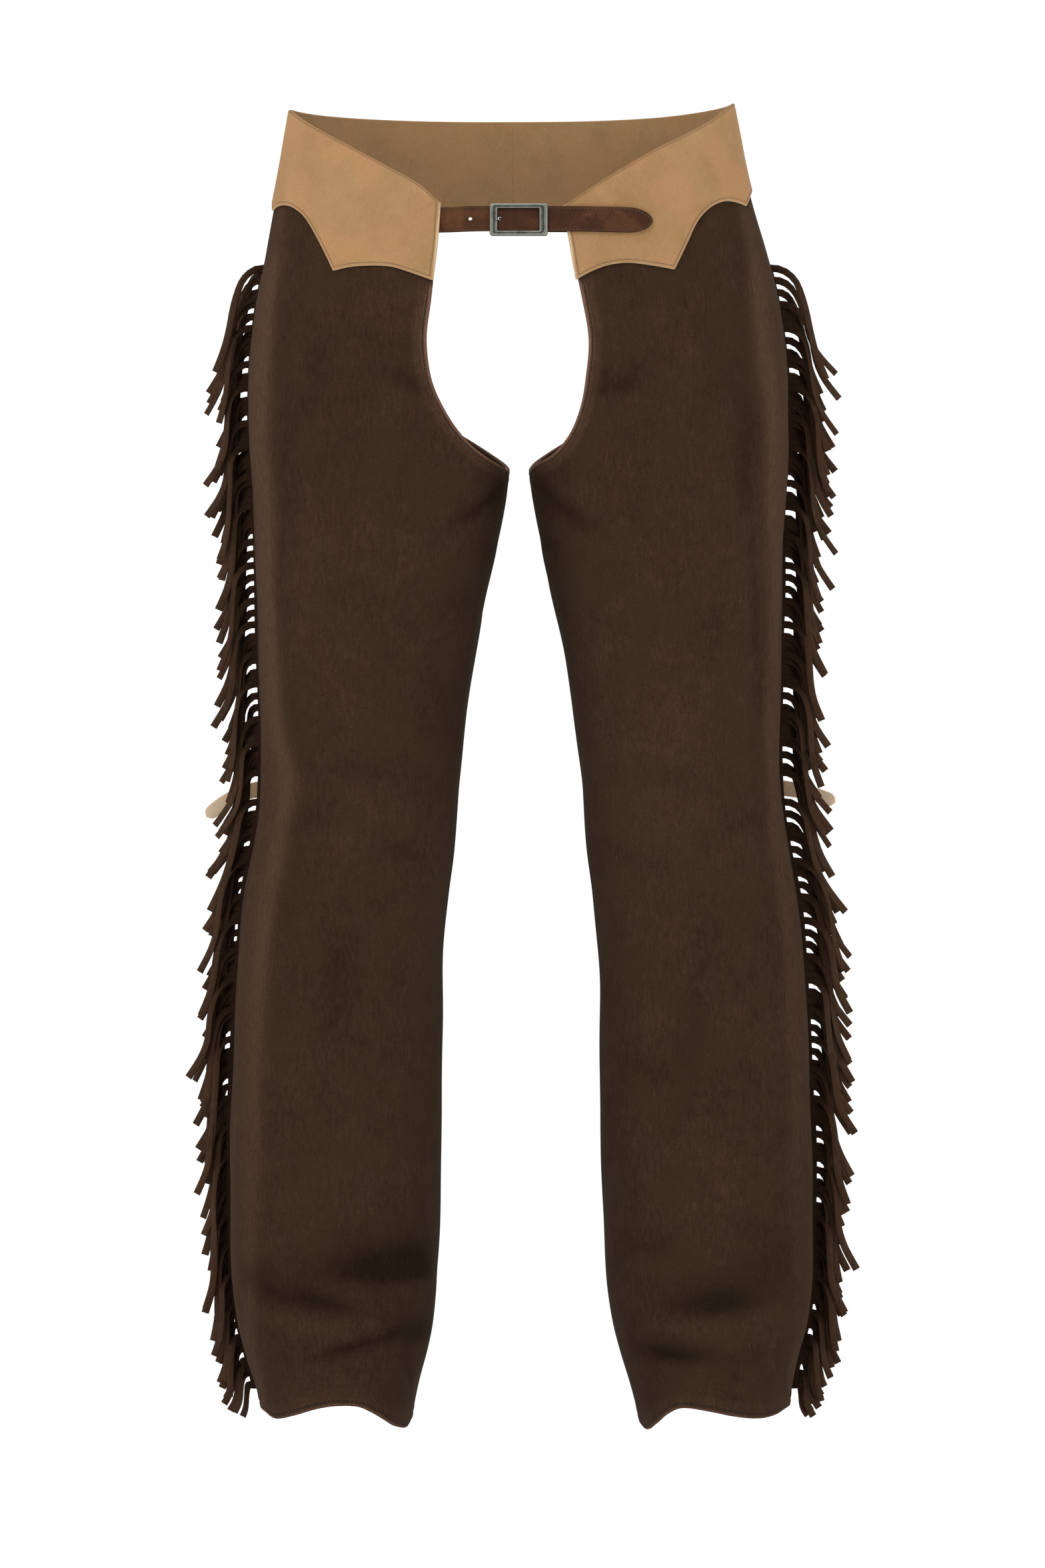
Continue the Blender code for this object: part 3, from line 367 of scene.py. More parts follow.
bodySquareness = 2.35
bodySections = (
    # height, half width, front, back
    (48, 165.0, 104, 106), (20, 170.5, 106, 111), (-5, 175.0, 109, 116), (-36, 181.5, 112, 121),
    (-74, 190.5, 113, 126), (-120, 200.5, 112, 129), (-180, 206.0, 108, 126),
    (-240, 204.0, 104, 118),
)
legSquareness = 2.25
legSections = (
    # height, outer side, inner side, front, back
    (-80, 192.0, 9.5, 112, 126), (-150, 203.5, 9.5, 106, 118), (-215, 205.0, 9.5, 101, 109),
    (-256, 203.0, 11.0, 98, 102), (-297, 201.0, 19.0, 95, 97), (-338, 200.0, 27.5, 92, 92),
    (-400, 198.0, 39.0, 87, 85), (-461, 197.3, 47.0, 83, 80), (-498, 199.0, 50.5, 81, 80),
    (-532, 204.5, 53.0, 80, 82), (-566, 210.5, 57.5, 79, 86), (-615, 215.0, 61.5, 79, 91),
    (-664, 218.0, 62.5, 80, 95), (-746, 221.3, 63.3, 84, 99), (-810, 221.5, 64.3, 89, 101),
    (-860, 220.3, 67.0, 94, 102), (-892, 216.5, 71.0, 98, 103), (-913, 210.5, 76.0, 101, 103),
    (-940, 203.5, 83.5, 105, 104), (-975, 197.0, 91.0, 109, 105),
)
blendTop = -85.0
blendEnd = -215.0
legParting = 4.0
partingSoftness = 25.0
lean = (
    # height, shift
    (45, -1.0), (-30, 0.0), (-90, 3.0), (-300, 4.5), (-500, 5.5), (-750, 6.0), (-900, 7.2),
    (-975, 9.5),
)

foldRadius = 95.0
folds = (
    # side, angle, height, half length, half width, slant, depth: the largest ones
    (-1, 100, -922, 62, 16, 14, -4.5), (1, 88, -928, 66, 18, -4, -4.5),
    (-1, 62, -890, 60, 16, 24, 2.5), (1, 120, -892, 55, 16, -20, 2.5),
    (-1, 30, -560, 290, 13, 90, 2.6), (1, 30, -560, 300, 13, 90, 2.6),
    (-1, 28, -215, 105, 14, 90, 2.2), (1, 26, -215, 105, 14, 90, 2.2),
    (-1, 245, -482, 85, 17, 0, -3.2), (1, 245, -482, 85, 17, 0, -3.2),
    (-1, 262, -528, 58, 17, -16, -3.2), (1, 266, -526, 55, 17, 14, -3.2),
    (-1, 226, -430, 52, 17, 18, -3.0), (1, 230, -434, 56, 17, -15, -3.0),
    (-1, 250, -905, 60, 18, 10, -4.0), (1, 254, -912, 62, 18, -12, -4.0),
    (-1, 215, -300, 60, 20, 35, -3.0), (1, 213, -305, 62, 20, -32, -3.0),
)
creases = (
    # side, angle, height, half length, half width above, and below, slant, depth: smaller ones
    (-1, 128, -850, 62, 22, 5.5, -2, -2.6), (-1, 122, -840, 60, 26, 16, 4, -1.3),
    (-1, 76, -866, 46, 10, 9, -11, -1.9), (-1, 88, -868, 24, 7, 5, -14, -0.9),
    (-1, 99, -900, 26, 4.6, 6.4, 14, -2.6), (-1, 143, -894, 34, 13, 10, -3, -2.3),
    (-1, 118, -893, 14, 6, 6, 14, -1.2), (-1, 84, -884, 34, 8, 7, -2, 0.8),
    (-1, 110, -884, 10, 3.6, 4.0, -36, 1.2), (-1, 138, -934, 30, 7, 7, -56, -1.1),
    (-1, 50, -850, 26, 14, 12, 0, -0.9), (1, 88, -867, 42, 19, 12, -6, -2.1),
    (1, 92, -872, 26, 9, 6, -6, -0.9), (1, 60, -838, 34, 22, 18, -8, -0.9),
    (1, 113, -905, 38, 10, 8, 4, -1.9), (1, 106, -908, 24, 7, 5, 0, -1.0),
    (1, 98, -888, 36, 8, 8, 4, 0.6), (1, 122, -828, 24, 10, 7, 0, -0.8),
    (1, 134, -868, 22, 9, 7, 12, 0.6), (-1, 104, -181, 20, 11, 7, -28, -1.5),
    (1, 108, -183, 20, 11, 7, -18, -1.5), (-1, 54, -262, 30, 7, 5, 88, -0.7),
    (1, 54, -251, 28, 8, 6, 88, -1.1), (-1, 46, -300, 60, 6, 6, 86, -0.7),
    (1, 48, -350, 60, 7, 6, 88, -0.8), (-1, 150, -262, 34, 6, 6, 34, -1.3),
    (-1, 138, -275, 38, 8, 8, 26, -0.9), (-1, 160, -300, 30, 7, 7, 12, -0.8),
    (1, 148, -260, 32, 6, 6, 32, -1.2), (1, 136, -277, 40, 8, 8, 24, -0.9),
    (1, 162, -296, 28, 7, 7, 10, -0.8), (-1, 95, -470, 44, 12, 12, -6, -0.9),
    (-1, 70, -505, 36, 10, 10, 12, -0.7), (-1, 120, -530, 34, 10, 10, -14, -0.7),
    (1, 92, -476, 46, 12, 12, 7, -0.9), (1, 66, -512, 34, 10, 10, -11, -0.7),
    (1, 122, -536, 36, 10, 10, 13, -0.7), (-1, 60, -190, 50, 12, 12, 62, -0.6),
    (1, 58, -196, 52, 12, 12, 64, -0.6), (-1, 90, -640, 60, 16, 16, 82, -0.8),
    (1, 96, -650, 64, 16, 16, 98, -0.8), (-1, 240, -470, 52, 6, 4, 6, -1.8),
    (-1, 256, -498, 44, 6, 4, -9, -1.6), (-1, 222, -505, 34, 7, 5, 22, -1.2),
    (1, 242, -472, 50, 6, 4, -5, -1.8), (1, 258, -500, 46, 6, 4, 10, -1.6),
    (1, 220, -508, 36, 7, 5, -20, -1.2), (-1, 236, -446, 36, 6, 5, 14, -1.2),
    (1, 234, -448, 38, 6, 5, -13, -1.2), (-1, 275, -560, 34, 8, 6, -24, -1.0),
    (1, 278, -556, 36, 8, 6, 22, -1.0), (-1, 248, -896, 44, 6, 5, 8, -1.6),
    (-1, 264, -926, 36, 7, 5, -12, -1.3), (-1, 226, -930, 30, 6, 5, 16, -1.1),
    (1, 250, -900, 46, 6, 5, -9, -1.6), (1, 268, -930, 34, 7, 5, 13, -1.3),
    (1, 228, -934, 32, 6, 5, -15, -1.1), (-1, 225, -275, 40, 8, 6, 42, -1.4),
    (-1, 205, -330, 38, 9, 7, 24, -1.1), (-1, 250, -245, 44, 9, 7, 52, -1.0),
    (1, 223, -278, 42, 8, 6, -40, -1.4), (1, 204, -334, 40, 9, 7, -22, -1.1),
    (1, 252, -248, 42, 9, 7, -50, -1.0),
)
ripples = (
    # turns round the leg, wavelength up it, start, height: the leather's faint waviness
    (3.0, 210.0, 0.4, 0.35), (5.0, 140.0, 1.9, 0.26), (2.0, 88.0, 4.1, 0.24),
    (7.0, 120.0, 2.7, 0.16),
)


def smoothStep(share):
    share = np.clip(share, 0.0, 1.0)
    return share * share * (3 - 2 * share)


def readTable(table, place, column):
    # value of a column on the smooth curve through a table's rows
    knots = np.array([row[0] for row in table], float)
    values = np.array([row[column] for row in table], float)
    if knots[-1] < knots[0]:
        knots, values = knots[::-1], values[::-1]
    slopes = np.empty_like(values)
    slopes[1:-1] = (values[2:] - values[:-2]) / (knots[2:] - knots[:-2])
    slopes[0] = (values[1] - values[0]) / (knots[1] - knots[0])
    slopes[-1] = (values[-1] - values[-2]) / (knots[-1] - knots[-2])
    place = np.clip(place, knots[0], knots[-1])
    cell = np.clip(np.searchsorted(knots, place, side="right") - 1, 0, len(knots) - 2)
    span = knots[cell + 1] - knots[cell]
    t = (place - knots[cell]) / span
    value = (2 * t**3 - 3 * t**2 + 1) * values[cell] + (t**3 - 2 * t**2 + t) * slopes[cell] * span
    value = value + (3 * t**2 - 2 * t**3) * values[cell + 1]
    return value + (t**3 - t**2) * slopes[cell + 1] * span


def straightTable(table, place, column):
    rows = sorted(table)
    return np.interp(place, [row[0] for row in rows], [row[column] for row in rows])


def scallop(table, angle):
    # height of an edge that is smooth between its corners
    angle = np.asarray(angle, float)
    height = np.full(angle.shape, float(table[-1][1]))
    corners = [row for row in range(len(table)) if table[row][2]]
    for first, last in reversed(list(zip(corners, corners[1:]))):
        part = table[first : last + 1]
        here = angle >= table[last][0]
        height = np.where(here, readTable(part, angle, 1), height)
    return height


def legCentre(height):
    height = np.minimum(height, blendEnd)
    return (readTable(legSections, height, 1) + readTable(legSections, height, 2)) / 2


def bodyReach(angle, height):
    # from a leg's centre line to the body oval, held short of the other leg
    half, front, back = (readTable(bodySections, height, column) for column in (1, 2, 3))
    centre = legCentre(height)
    across, forward = np.cos(np.radians(angle)), np.sin(np.radians(angle))
    deep = np.where(forward > 0, front, back)
    low, high = np.zeros_like(centre + across), 2 * half + 0 * across
    for _ in range(24):
        middle = (low + high) / 2
        place = np.abs((centre + middle * across) / half) ** bodySquareness
        place = place + np.abs(middle * forward / deep) ** bodySquareness
        low, high = np.where(place < 1, middle, low), np.where(place < 1, high, middle)
    reach = (low + high) / 2
    held = (across < 0) & (height < blendTop)
    parting = np.where(held, (centre - legParting) / np.maximum(-across, 1e-6), 1e6)
    near = np.maximum(partingSoftness - np.abs(reach - parting), 0) / partingSoftness
    return np.where(held, np.minimum(reach, parting) - near * near * partingSoftness / 4, reach)


def legReach(angle, height):
    centre = legCentre(height)
    across, forward = np.cos(np.radians(angle)), np.sin(np.radians(angle))
    outer = readTable(legSections, height, 1) - centre
    inner = centre - readTable(legSections, height, 2)
    front, back = readTable(legSections, height, 3), readTable(legSections, height, 4)
    reach = np.abs(across / np.where(across > 0, outer, inner)) ** legSquareness
    reach = reach + np.abs(forward / np.where(forward > 0, front, back)) ** legSquareness
    return reach ** (-1 / legSquareness)


def pushFrom(side, angle, height, rows):
    # how far these rows push the leather out, or let it sink
    push = np.zeros_like(angle + height)
    for foldSide, foldAngle, foldHeight, length, above, below, slant, depth in rows:
        if foldSide != side:
            continue
        around = np.radians((angle - foldAngle + 180) % 360 - 180) * foldRadius
        up = height - foldHeight
        tilt = math.radians(slant)
        along = around * math.cos(tilt) + up * math.sin(tilt)
        aside = up * math.cos(tilt) - around * math.sin(tilt)
        width = np.where(aside > 0, above, below)
        push += depth * np.exp(-((along / length) ** 2) - (aside / width) ** 2)
    return push


def foldPush(side, angle, height):
    push = pushFrom(side, angle, height, tuple(row[:5] + row[4:] for row in folds) + creases)
    below = smoothStep((-120 - height) / 60)
    for turns, wave, start, size in ripples:
        phase = np.radians(angle) * turns + height / wave * 2 * math.pi
        push += below * size * np.sin(phase + start * (2 + side))
    return push


def creaseShade(side, angle, height):
    # painted shade in the troughs of the creases, and painted highlight on their ridges
    push = pushFrom(side, angle, height, creases)
    return np.clip(-push * 0.36, 0, 0.9), np.clip(push * 0.30, 0, 0.5)


def barePoint(side, angle, height):
    # point on the inside of the leg leather, in millimetres
    angle, height = np.broadcast_arrays(np.asarray(angle, float), np.asarray(height, float))
    share = smoothStep((blendTop - height) / (blendTop - blendEnd))
    reach = foldPush(side, angle, height)
    if np.any(share > 0):
        reach = reach + share * legReach(angle, height)
    if np.any(share < 1):
        reach = reach + (1 - share) * bodyReach(angle, height)
    across = legCentre(height) + reach * np.cos(np.radians(angle))
    forward = -reach * np.sin(np.radians(angle))
    return np.stack((side * across + readTable(lean, height, 1), forward, height), axis=-1)


def unit(vectors):
    return vectors / np.maximum(np.linalg.norm(vectors, axis=-1, keepdims=True), 1e-9)


def outward(side, angle, height):
    angle, height = np.broadcast_arrays(np.asarray(angle, float), np.asarray(height, float))
    around = barePoint(side, angle + 0.8, height) - barePoint(side, angle - 0.8, height)
    up = barePoint(side, angle, height + 1.5) - barePoint(side, angle, height - 1.5)
    return unit(np.cross(up, around) * side)


def leatherPoint(side, angle, height, offset):
    offset = np.asarray(offset, float)
    return barePoint(side, angle, height) + outward(side, angle, height) * offset[..., None]


def distanceTo(points, path):
    # shortest distance from each point to a line of points
    starts, steps = path[:-1], path[1:] - path[:-1]
    lengths = np.maximum((steps * steps).sum(-1), 1e-9)
    flat = points.reshape(-1, 3)
    nearest = np.empty(len(flat))
    for first in range(0, len(flat), 1500):
        gap = flat[first : first + 1500, None, :] - starts[None]
        along = np.clip((gap * steps[None]).sum(-1) / lengths[None], 0, 1)
        gap = gap - along[..., None] * steps[None]
        nearest[first : first + 1500] = np.sqrt((gap * gap).sum(-1).min(-1))
    return nearest.reshape(points.shape[:-1])


def rounded(distance, radius):
    # how much a cut edge falls away, at a distance from it
    near = 1 - np.clip(distance / radius, 0, 1)
    return radius * (1 - np.sqrt(np.maximum(1 - near * near, 0)))


def gully(distance, middle, width):
    return np.exp(-(((distance - middle) / width) ** 2))


def markPoints(mesh, label, values):
    # a number or a vector for each point
    kind, field = ("FLOAT_VECTOR", "vector") if values.ndim > 1 else ("FLOAT", "value")
    marks = mesh.attributes.new(label, kind, "POINT")
    marks.data.foreach_set(field, values.astype(np.float32).ravel())


def placeMesh(name, points, faces, material, marks):
    # a closed piece from points in millimetres, turned the right way out
    mesh = bpy.data.meshes.new(name)
    points = points.reshape(-1, 3) * mm
    mesh.from_pydata(points.tolist(), [], [tuple(int(corner) for corner in face) for face in faces])
    mesh.update()
    mesh.calc_loop_triangles()
    corners = np.empty(len(mesh.loop_triangles) * 3, int)
    mesh.loop_triangles.foreach_get("vertices", corners)
    first, second, third = (points[corners[start::3]] for start in (0, 1, 2))
    if np.einsum("ij,ij->i", first, np.cross(second, third)).sum() < 0:
        mesh.flip_normals()
    for label, values in marks.items():
        markPoints(mesh, label, np.ravel(values))
    mesh.shade_smooth()
    mesh.materials.append(finishes[material])
    return placeObject(name, mesh)


def placeShell(name, inside, outside, material, marks):
    # closes a wall between two equal grids of points; marks are given for both grids
    rows, columns = inside.shape[:2]
    far = rows * columns
    index = np.arange(far).reshape(rows, columns)
    quads = np.stack((index[:-1, :-1], index[:-1, 1:], index[1:, 1:], index[1:, :-1]), -1)
    quads = quads.reshape(-1, 4)
    rim = [*index[0, :], *index[1:, -1], *index[-1, -2::-1], *index[-2:0:-1, 0]]
    faces = quads.tolist() + (quads[:, ::-1] + far).tolist()
    faces += [(end, start, far + start, far + end) for start, end in zip(rim, rim[1:] + rim[:1])]
    both = {label: np.stack(pair) for label, pair in marks.items()}
    return placeMesh(name, np.stack((inside, outside)), faces, material, both)


def placeTube(name, rings, material, marks, closed=False):
    # joins rings of equal length, with a flat cap at each end unless the last meets the first
    count, around = rings.shape[:2]
    index = np.arange(count * around).reshape(count, around)
    index = np.concatenate((index, index[:1])) if closed else index
    beside = np.roll(index, -1, axis=1)
    faces = np.stack((index[:-1], beside[:-1], beside[1:], index[1:]), -1).reshape(-1, 4).tolist()
    if not closed:
        faces += [index[0, ::-1], index[-1]]
    return placeMesh(name, rings, faces, material, marks)


def plainMesh(thing):
    # the mesh that an object's modifiers give
    view = bpy.context.evaluated_depsgraph_get()
    mesh = bpy.data.meshes.new_from_object(thing.evaluated_get(view), depsgraph=view)
    thing.modifiers.clear()
    return mesh


def joinPieces(name, pieces):
    body = bmesh.new()
    for piece in pieces:
        body.from_mesh(piece.data)
    for piece in pieces[1:]:
        bpy.data.objects.remove(piece, do_unlink=True)
    body.to_mesh(pieces[0].data)
    body.free()
    pieces[0].name = name
    return pieces[0]


def carve(piece, tool, operation="DIFFERENCE"):
    # cuts a tool from a piece, or joins it on
    change = piece.modifiers.new("carve", "BOOLEAN")
    change.operation, change.solver, change.object = operation, "EXACT", tool
    piece.data = plainMesh(piece)
    piece.data.shade_smooth()
    bpy.data.objects.remove(tool, do_unlink=True)


def handIn(piece, node, slotName, sewing=None, **sheet):
    # a piece and its sewing ride on the one body, and it takes its plain node's place
    for part in (piece, sewing):
        if part:
            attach(part, "root")
    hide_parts(node)
    if sewing:
        sheet["with_pieces"] = [sewing]
    faces = piece.data.polygons
    sheetArea = sum(face.area for face in faces) / 2
    print(node, "made:", len(faces), "faces, half its surface", round(sheetArea, 5), "m2")


class Pattern:
    # a Geometry Nodes tree with named inputs
    def __init__(self, name, inputs):
        self.tree = bpy.data.node_groups.new(name, "GeometryNodeTree")
        for way in ("INPUT", "OUTPUT"):
            self.tree.interface.new_socket("Geometry", in_out=way, socket_type="NodeSocketGeometry")
        for label, kind in inputs.items():
            self.tree.interface.new_socket(label, in_out="INPUT", socket_type="NodeSocket" + kind)
        self.given = self.tree.nodes.new("NodeGroupInput").outputs

    def node(self, kind, sockets, output=0, **settings):
        return addNode(self.tree, kind, settings, sockets)[output]

    def close(self, geometry):
        for kind in ("RealizeInstances", "SetShadeSmooth"):
            geometry = self.node("GeometryNode" + kind, {"Geometry": geometry})
        painted = self.node("GeometryNodeSetMaterial", {
            "Geometry": geometry, "Material": self.given["Material"]})
        self.tree.links.new(painted, self.tree.nodes.new("NodeGroupOutput").inputs["Geometry"])
        return self

    def grow(self, name, guide, values):
        # runs the tree on a guide and keeps the result as a plain mesh
        change = guide.modifiers.new(name, "NODES")
        change.node_group = self.tree
        for socket in self.tree.interface.items_tree:
            if socket.in_out == "INPUT" and socket.name in values:
                change[socket.identifier] = values[socket.name]
        piece = placeObject(name, plainMesh(guide))
        bpy.data.objects.remove(guide, do_unlink=True)
        return piece


def placeGuide(name, paths):
    # open lines of points in millimetres, with named values for a pattern to follow
    points, edges = [], []
    for path in paths:
        first = len(points)
        points.extend((path["points"] * mm).tolist())
        edges.extend((spot, spot + 1) for spot in range(first, len(points) - 1))
    mesh = bpy.data.meshes.new(name)
    mesh.from_pydata(points, edges, [])
    for label in paths[0]:
        if label != "points":
            markPoints(mesh, label, np.concatenate([path[label] for path in paths]))
    return placeObject(name, mesh)


def buildStitchPattern():
    # short rounded stitches laid along a line
    pattern = Pattern("stitchRow", {
        "Pitch": "Float", "Stitch Length": "Float", "Stitch Thickness": "Float", "Wander": "Float",
        "Seed": "Int", "Material": "Material"})
    given, node = pattern.given, pattern.node
    line = node("GeometryNodeMeshToCurve", {"Mesh": given["Geometry"]})
    spaced = {"Curve": line, "Length": given["Pitch"]}
    spots = node("GeometryNodeCurveToPoints", spaced, mode="LENGTH")
    out = node("GeometryNodeInputNamedAttribute", {"Name": "out"}, data_type="FLOAT_VECTOR")
    along = {"Vector": spots.node.outputs["Tangent"]}
    ahead = node("FunctionNodeAlignRotationToVector", along, axis="X")
    upright = {"Rotation": ahead, "Vector": out}
    level = node("FunctionNodeAlignRotationToVector", upright, axis="Z", pivot_axis="X")
    less = node("ShaderNodeMath", {0: given["Wander"], 1: -1.0}, operation="MULTIPLY")
    limits = {"Min": less, "Max": given["Wander"], "Seed": given["Seed"]}
    sway = node("FunctionNodeRandomValue", limits, "Value", data_type="FLOAT")
    spin = node("FunctionNodeEulerToRotation", {"Euler": node("ShaderNodeCombineXYZ", {"Z": sway})})
    swayed = {"Rotation": level, "Rotate By": spin}
    turned = node("FunctionNodeRotateRotation", swayed, rotation_space="LOCAL")
    thick = given["Stitch Thickness"]
    size = node("ShaderNodeCombineXYZ", {"X": thick, "Y": thick, "Z": given["Stitch Length"]})
    bead = node("GeometryNodeMeshUVSphere", {"Segments": 8, "Rings": 4, "Radius": 0.5})
    shaped = node("GeometryNodeTransform", {"Geometry": bead, "Scale": size})
    lying = node("GeometryNodeTransform", {"Geometry": shaped, "Rotation": (0, math.pi / 2, 0)})
    laid = {"Points": spots, "Instance": lying, "Rotation": turned}
    return pattern.close(node("GeometryNodeInstanceOnPoints", laid))


def buildStrandPattern():
    # flat strands swept along smooth lines, each with its own width
    pattern = Pattern("fringeStrands", {
        "Width": "Float", "Thickness": "Float", "Corner": "Float", "Steps": "Int",
        "Material": "Material"})
    given, node = pattern.given, pattern.node
    line = node("GeometryNodeMeshToCurve", {"Mesh": given["Geometry"]})
    curved = node("GeometryNodeCurveSplineType", {"Curve": line}, spline_type="CATMULL_ROM")
    fine = node("GeometryNodeSetSplineResolution", {"Geometry": curved, "Resolution": 8})
    even = node("GeometryNodeResampleCurve", {"Curve": fine, "Count": given["Steps"]}, mode="COUNT")
    across = node("GeometryNodeInputNamedAttribute", {"Name": "across"}, data_type="FLOAT_VECTOR")
    wide = node("GeometryNodeInputNamedAttribute", {"Name": "wide"}, data_type="FLOAT")
    flat = node("GeometryNodeSetCurveNormal", {"Curve": even, "Normal": across}, mode="FREE")
    sized = node("GeometryNodeSetCurveRadius", {"Curve": flat, "Radius": wide})
    band = node("GeometryNodeCurvePrimitiveQuadrilateral", {
        "Width": given["Width"], "Height": given["Thickness"]})
    blunt = {"Curve": band, "Count": 1, "Radius": given["Corner"]}
    soft = node("GeometryNodeFilletCurve", blunt, mode="POLY")
    return pattern.close(node("GeometryNodeCurveToMesh", {
        "Curve": sized, "Profile Curve": soft, "Fill Caps": True}))


stitchPattern = buildStitchPattern()
strandPattern = buildStrandPattern()


def insetPath(points, outs, inner, distance, lift):
    # the line beside an edge, at a distance on the inner side, left out where it would fold back
    ahead = unit(np.gradient(points, axis=0))
    inwards = unit(np.cross(outs, ahead))
    if np.median(np.einsum("ij,ij->i", inwards, inner - points)) < 0:
        inwards = -inwards
    moved = points + inwards * distance + outs * lift
    clear = distanceTo(moved - outs * lift, points) > distance * 0.93
    return {"points": moved[clear], "out": outs[clear]}


def placeStitches(name, paths, looks, material):
    return stitchPattern.grow(name, placeGuide(name + "Guide", paths), {
        "Pitch": looks["pitch"] * mm, "Stitch Length": looks["length"] * mm,
        "Stitch Thickness": looks["thickness"] * mm, "Wander": math.radians(looks["wander"]),
        "Seed": looks["seed"], "Material": finishes[material]})


legs = {
    "rowStep": 3.8,
    "columnStep": 3.7,
    # how far rows and columns lie from the crotch, the hem, the seam and the inner edge
    "fineTop": (0.6, 1.3, 2.0, 2.7, 3.3, 3.9, 4.6, 5.6, 7.0, 8.8, 10.5, 12.2, 14.5),
    "fineHem": (14.5, 12.2, 10.5, 8.8, 7.2, 5.8, 4.9, 4.3, 3.8, 3.3, 2.8, 2.1, 1.4, 0.8, 0.35, 0),
    "fineSeam": (0, 0.3, 0.8, 1.5, 2.4, 3.4, 4.6),
    "fineInseam": (0, 0.3, 0.7, 1.2, 1.9, 2.5, 3.0, 3.5, 4.0, 4.6, 5.4, 6.8, 8.6, 10.2, 11.4, 12.8,
                   15.0),
    "turnedWidth": 4.4,  # the turned edge, as it shows outside
    "rimWidth": 2.1,
    "hemRim": (1.0, 0.45),  # width and strength of the pale cut edge along the hem
    "pale": (
        # side, angle, height, half length, half width above, and below, slant, strength:
        # where the leather is coloured lighter
        (1, 96, -486, 62, 70, 70, 0, 0.26), (-1, 152, -300, 34, 80, 80, 0, 0.20),
        (-1, 92, -500, 50, 50, 50, 0, 0.10), (1, 22, -930, 16, 40, 30, 0, 0.25),
        (-1, 22, -930, 16, 40, 30, 0, 0.25), (1, 60, -300, 50, 60, 60, 0, 0.10),
        (-1, 100, -760, 60, 60, 60, 0, 0.06), (-1, 164, -942, 10, 24, 24, 0, 0.5),
        (-1, 150, -575, 26, 90, 110, 0, 0.24),
    ),
    "turnedRise": 0.55,
    "grooveAt": 3.3,
    "grooveWidth": 0.55,
    "groove": 0.38,
    "markAt": 8.0,  # where the turned-under leather ends, and shows through
    "markWidth": 2.8,
    "markRise": 0.42,
    "paleBand": (5.8, 1.9),  # the nap rubbed between the sewing and that mark: place and width
    "underWidth": 8.5,
    "underThickness": 0.8,
    "edgeRadius": 0.95,
    "innerRadius": 0.75,
    "seamDip": 0.35,
    "seamWidth": 2.2,
    "stitchedBelow": {"front": -103, "back": -27},  # the yoke hides the opening's edge above
    "streak": (
        # height, angle on the right leg, on the left leg: where the painted sheen highlight runs
        (-70, 33.0, 37.0), (-150, 34.0, 41.0), (-210, 35.0, 37.0), (-270, 35.0, 35.0),
        (-330, 36.0, 33.0), (-390, 39.0, 33.0), (-438, 43.0, 37.0), (-478, 52.0, 35.0),
        (-518, 50.0, 37.0), (-558, 48.0, 38.0), (-618, 46.0, 38.0), (-692, 46.0, 40.0),
        (-768, 47.0, 42.0), (-965, 47.0, 42.0),
    ),
    "streakSpread": (13.0, 5.5),  # outwards and inwards, in degrees
    "beside": (14.0, 6.0, 0.15),  # the painted shade inside it: how far in, spread, depth
    "streakStrength": (
        # height, on the right leg, on the left leg
        (-70, 0.5, 0.7), (-100, 1.0, 1.0), (-250, 1.0, 0.95), (-330, 1.0, 0.75), (-480, 0.90, 0.60),
        (-600, 0.85, 0.50), (-760, 0.50, 0.30), (-860, 0.40, 0.20), (-965, 0.40, 0.25),
    ),
    "stitches": {"pitch": 3.3, "length": 2.5, "thickness": 0.55, "wander": 3.0, "seed": 3},
    "cut": {
        # part: width and length of the piece of leather in metres, and its area
        "front": ((0.365, 0.955), 0.256), "back": ((0.345, 0.965), 0.222),
    },
}
frontOpening = {
    # side: angle and height of the opening's edge, from the yoke to the inseam
    -1: ((113.2, -86), (111.8, -120), (110.7, -150), (113.2, -178), (120.0, -202), (129.7, -221),
         (141.0, -232), (156.0, -238), (inseam, crotchHeight)),
    1: ((120.6, -86), (118.8, -120), (118.2, -150), (121.0, -177), (125.2, -201), (132.0, -220),
        (142.0, -232), (157.0, -237), (inseam, crotchHeight)),
}
backOpening = ((302.0, -16), (298.0, -58), (291.0, -100), (280.0, -138), (264.0, -170),
               (243.0, -197), (219.0, -219), (195.0, -233), (inseam, crotchHeight))
backTop = ((340.0, -15.0), (302.0, -16.0))
panelTop = ((outerSeam, -15.0), (45, -22.0), (65, -36.0), (80, -60.0), (95, -78.0), (122, -86.0))
hem = (
    # angle, height on the right leg, height on the left leg
    (-188, -968.0, -968.0), (-90, -972.0, -972.0), (-20, -960.0, -960.0), (10, -956.0, -955.0),
    (48, -954.0, -952.0), (62, -956.0, -953.5), (73, -951.5, -953.5), (84, -945.2, -950.5),
    (92, -943.0, -947.5), (101, -944.0, -945.5), (107, -949.0, -946.5), (114, -956.0, -952.5),
    (122, -962.5, -960.5), (137, -967.5, -968.8), (155, -967.5, -968.5), (172, -968.0, -968.0),
)
topFade = 1.5
rowsAbove = 8  # one for each step between the opening's points
rowsBelow = 21
farAway = 40.0
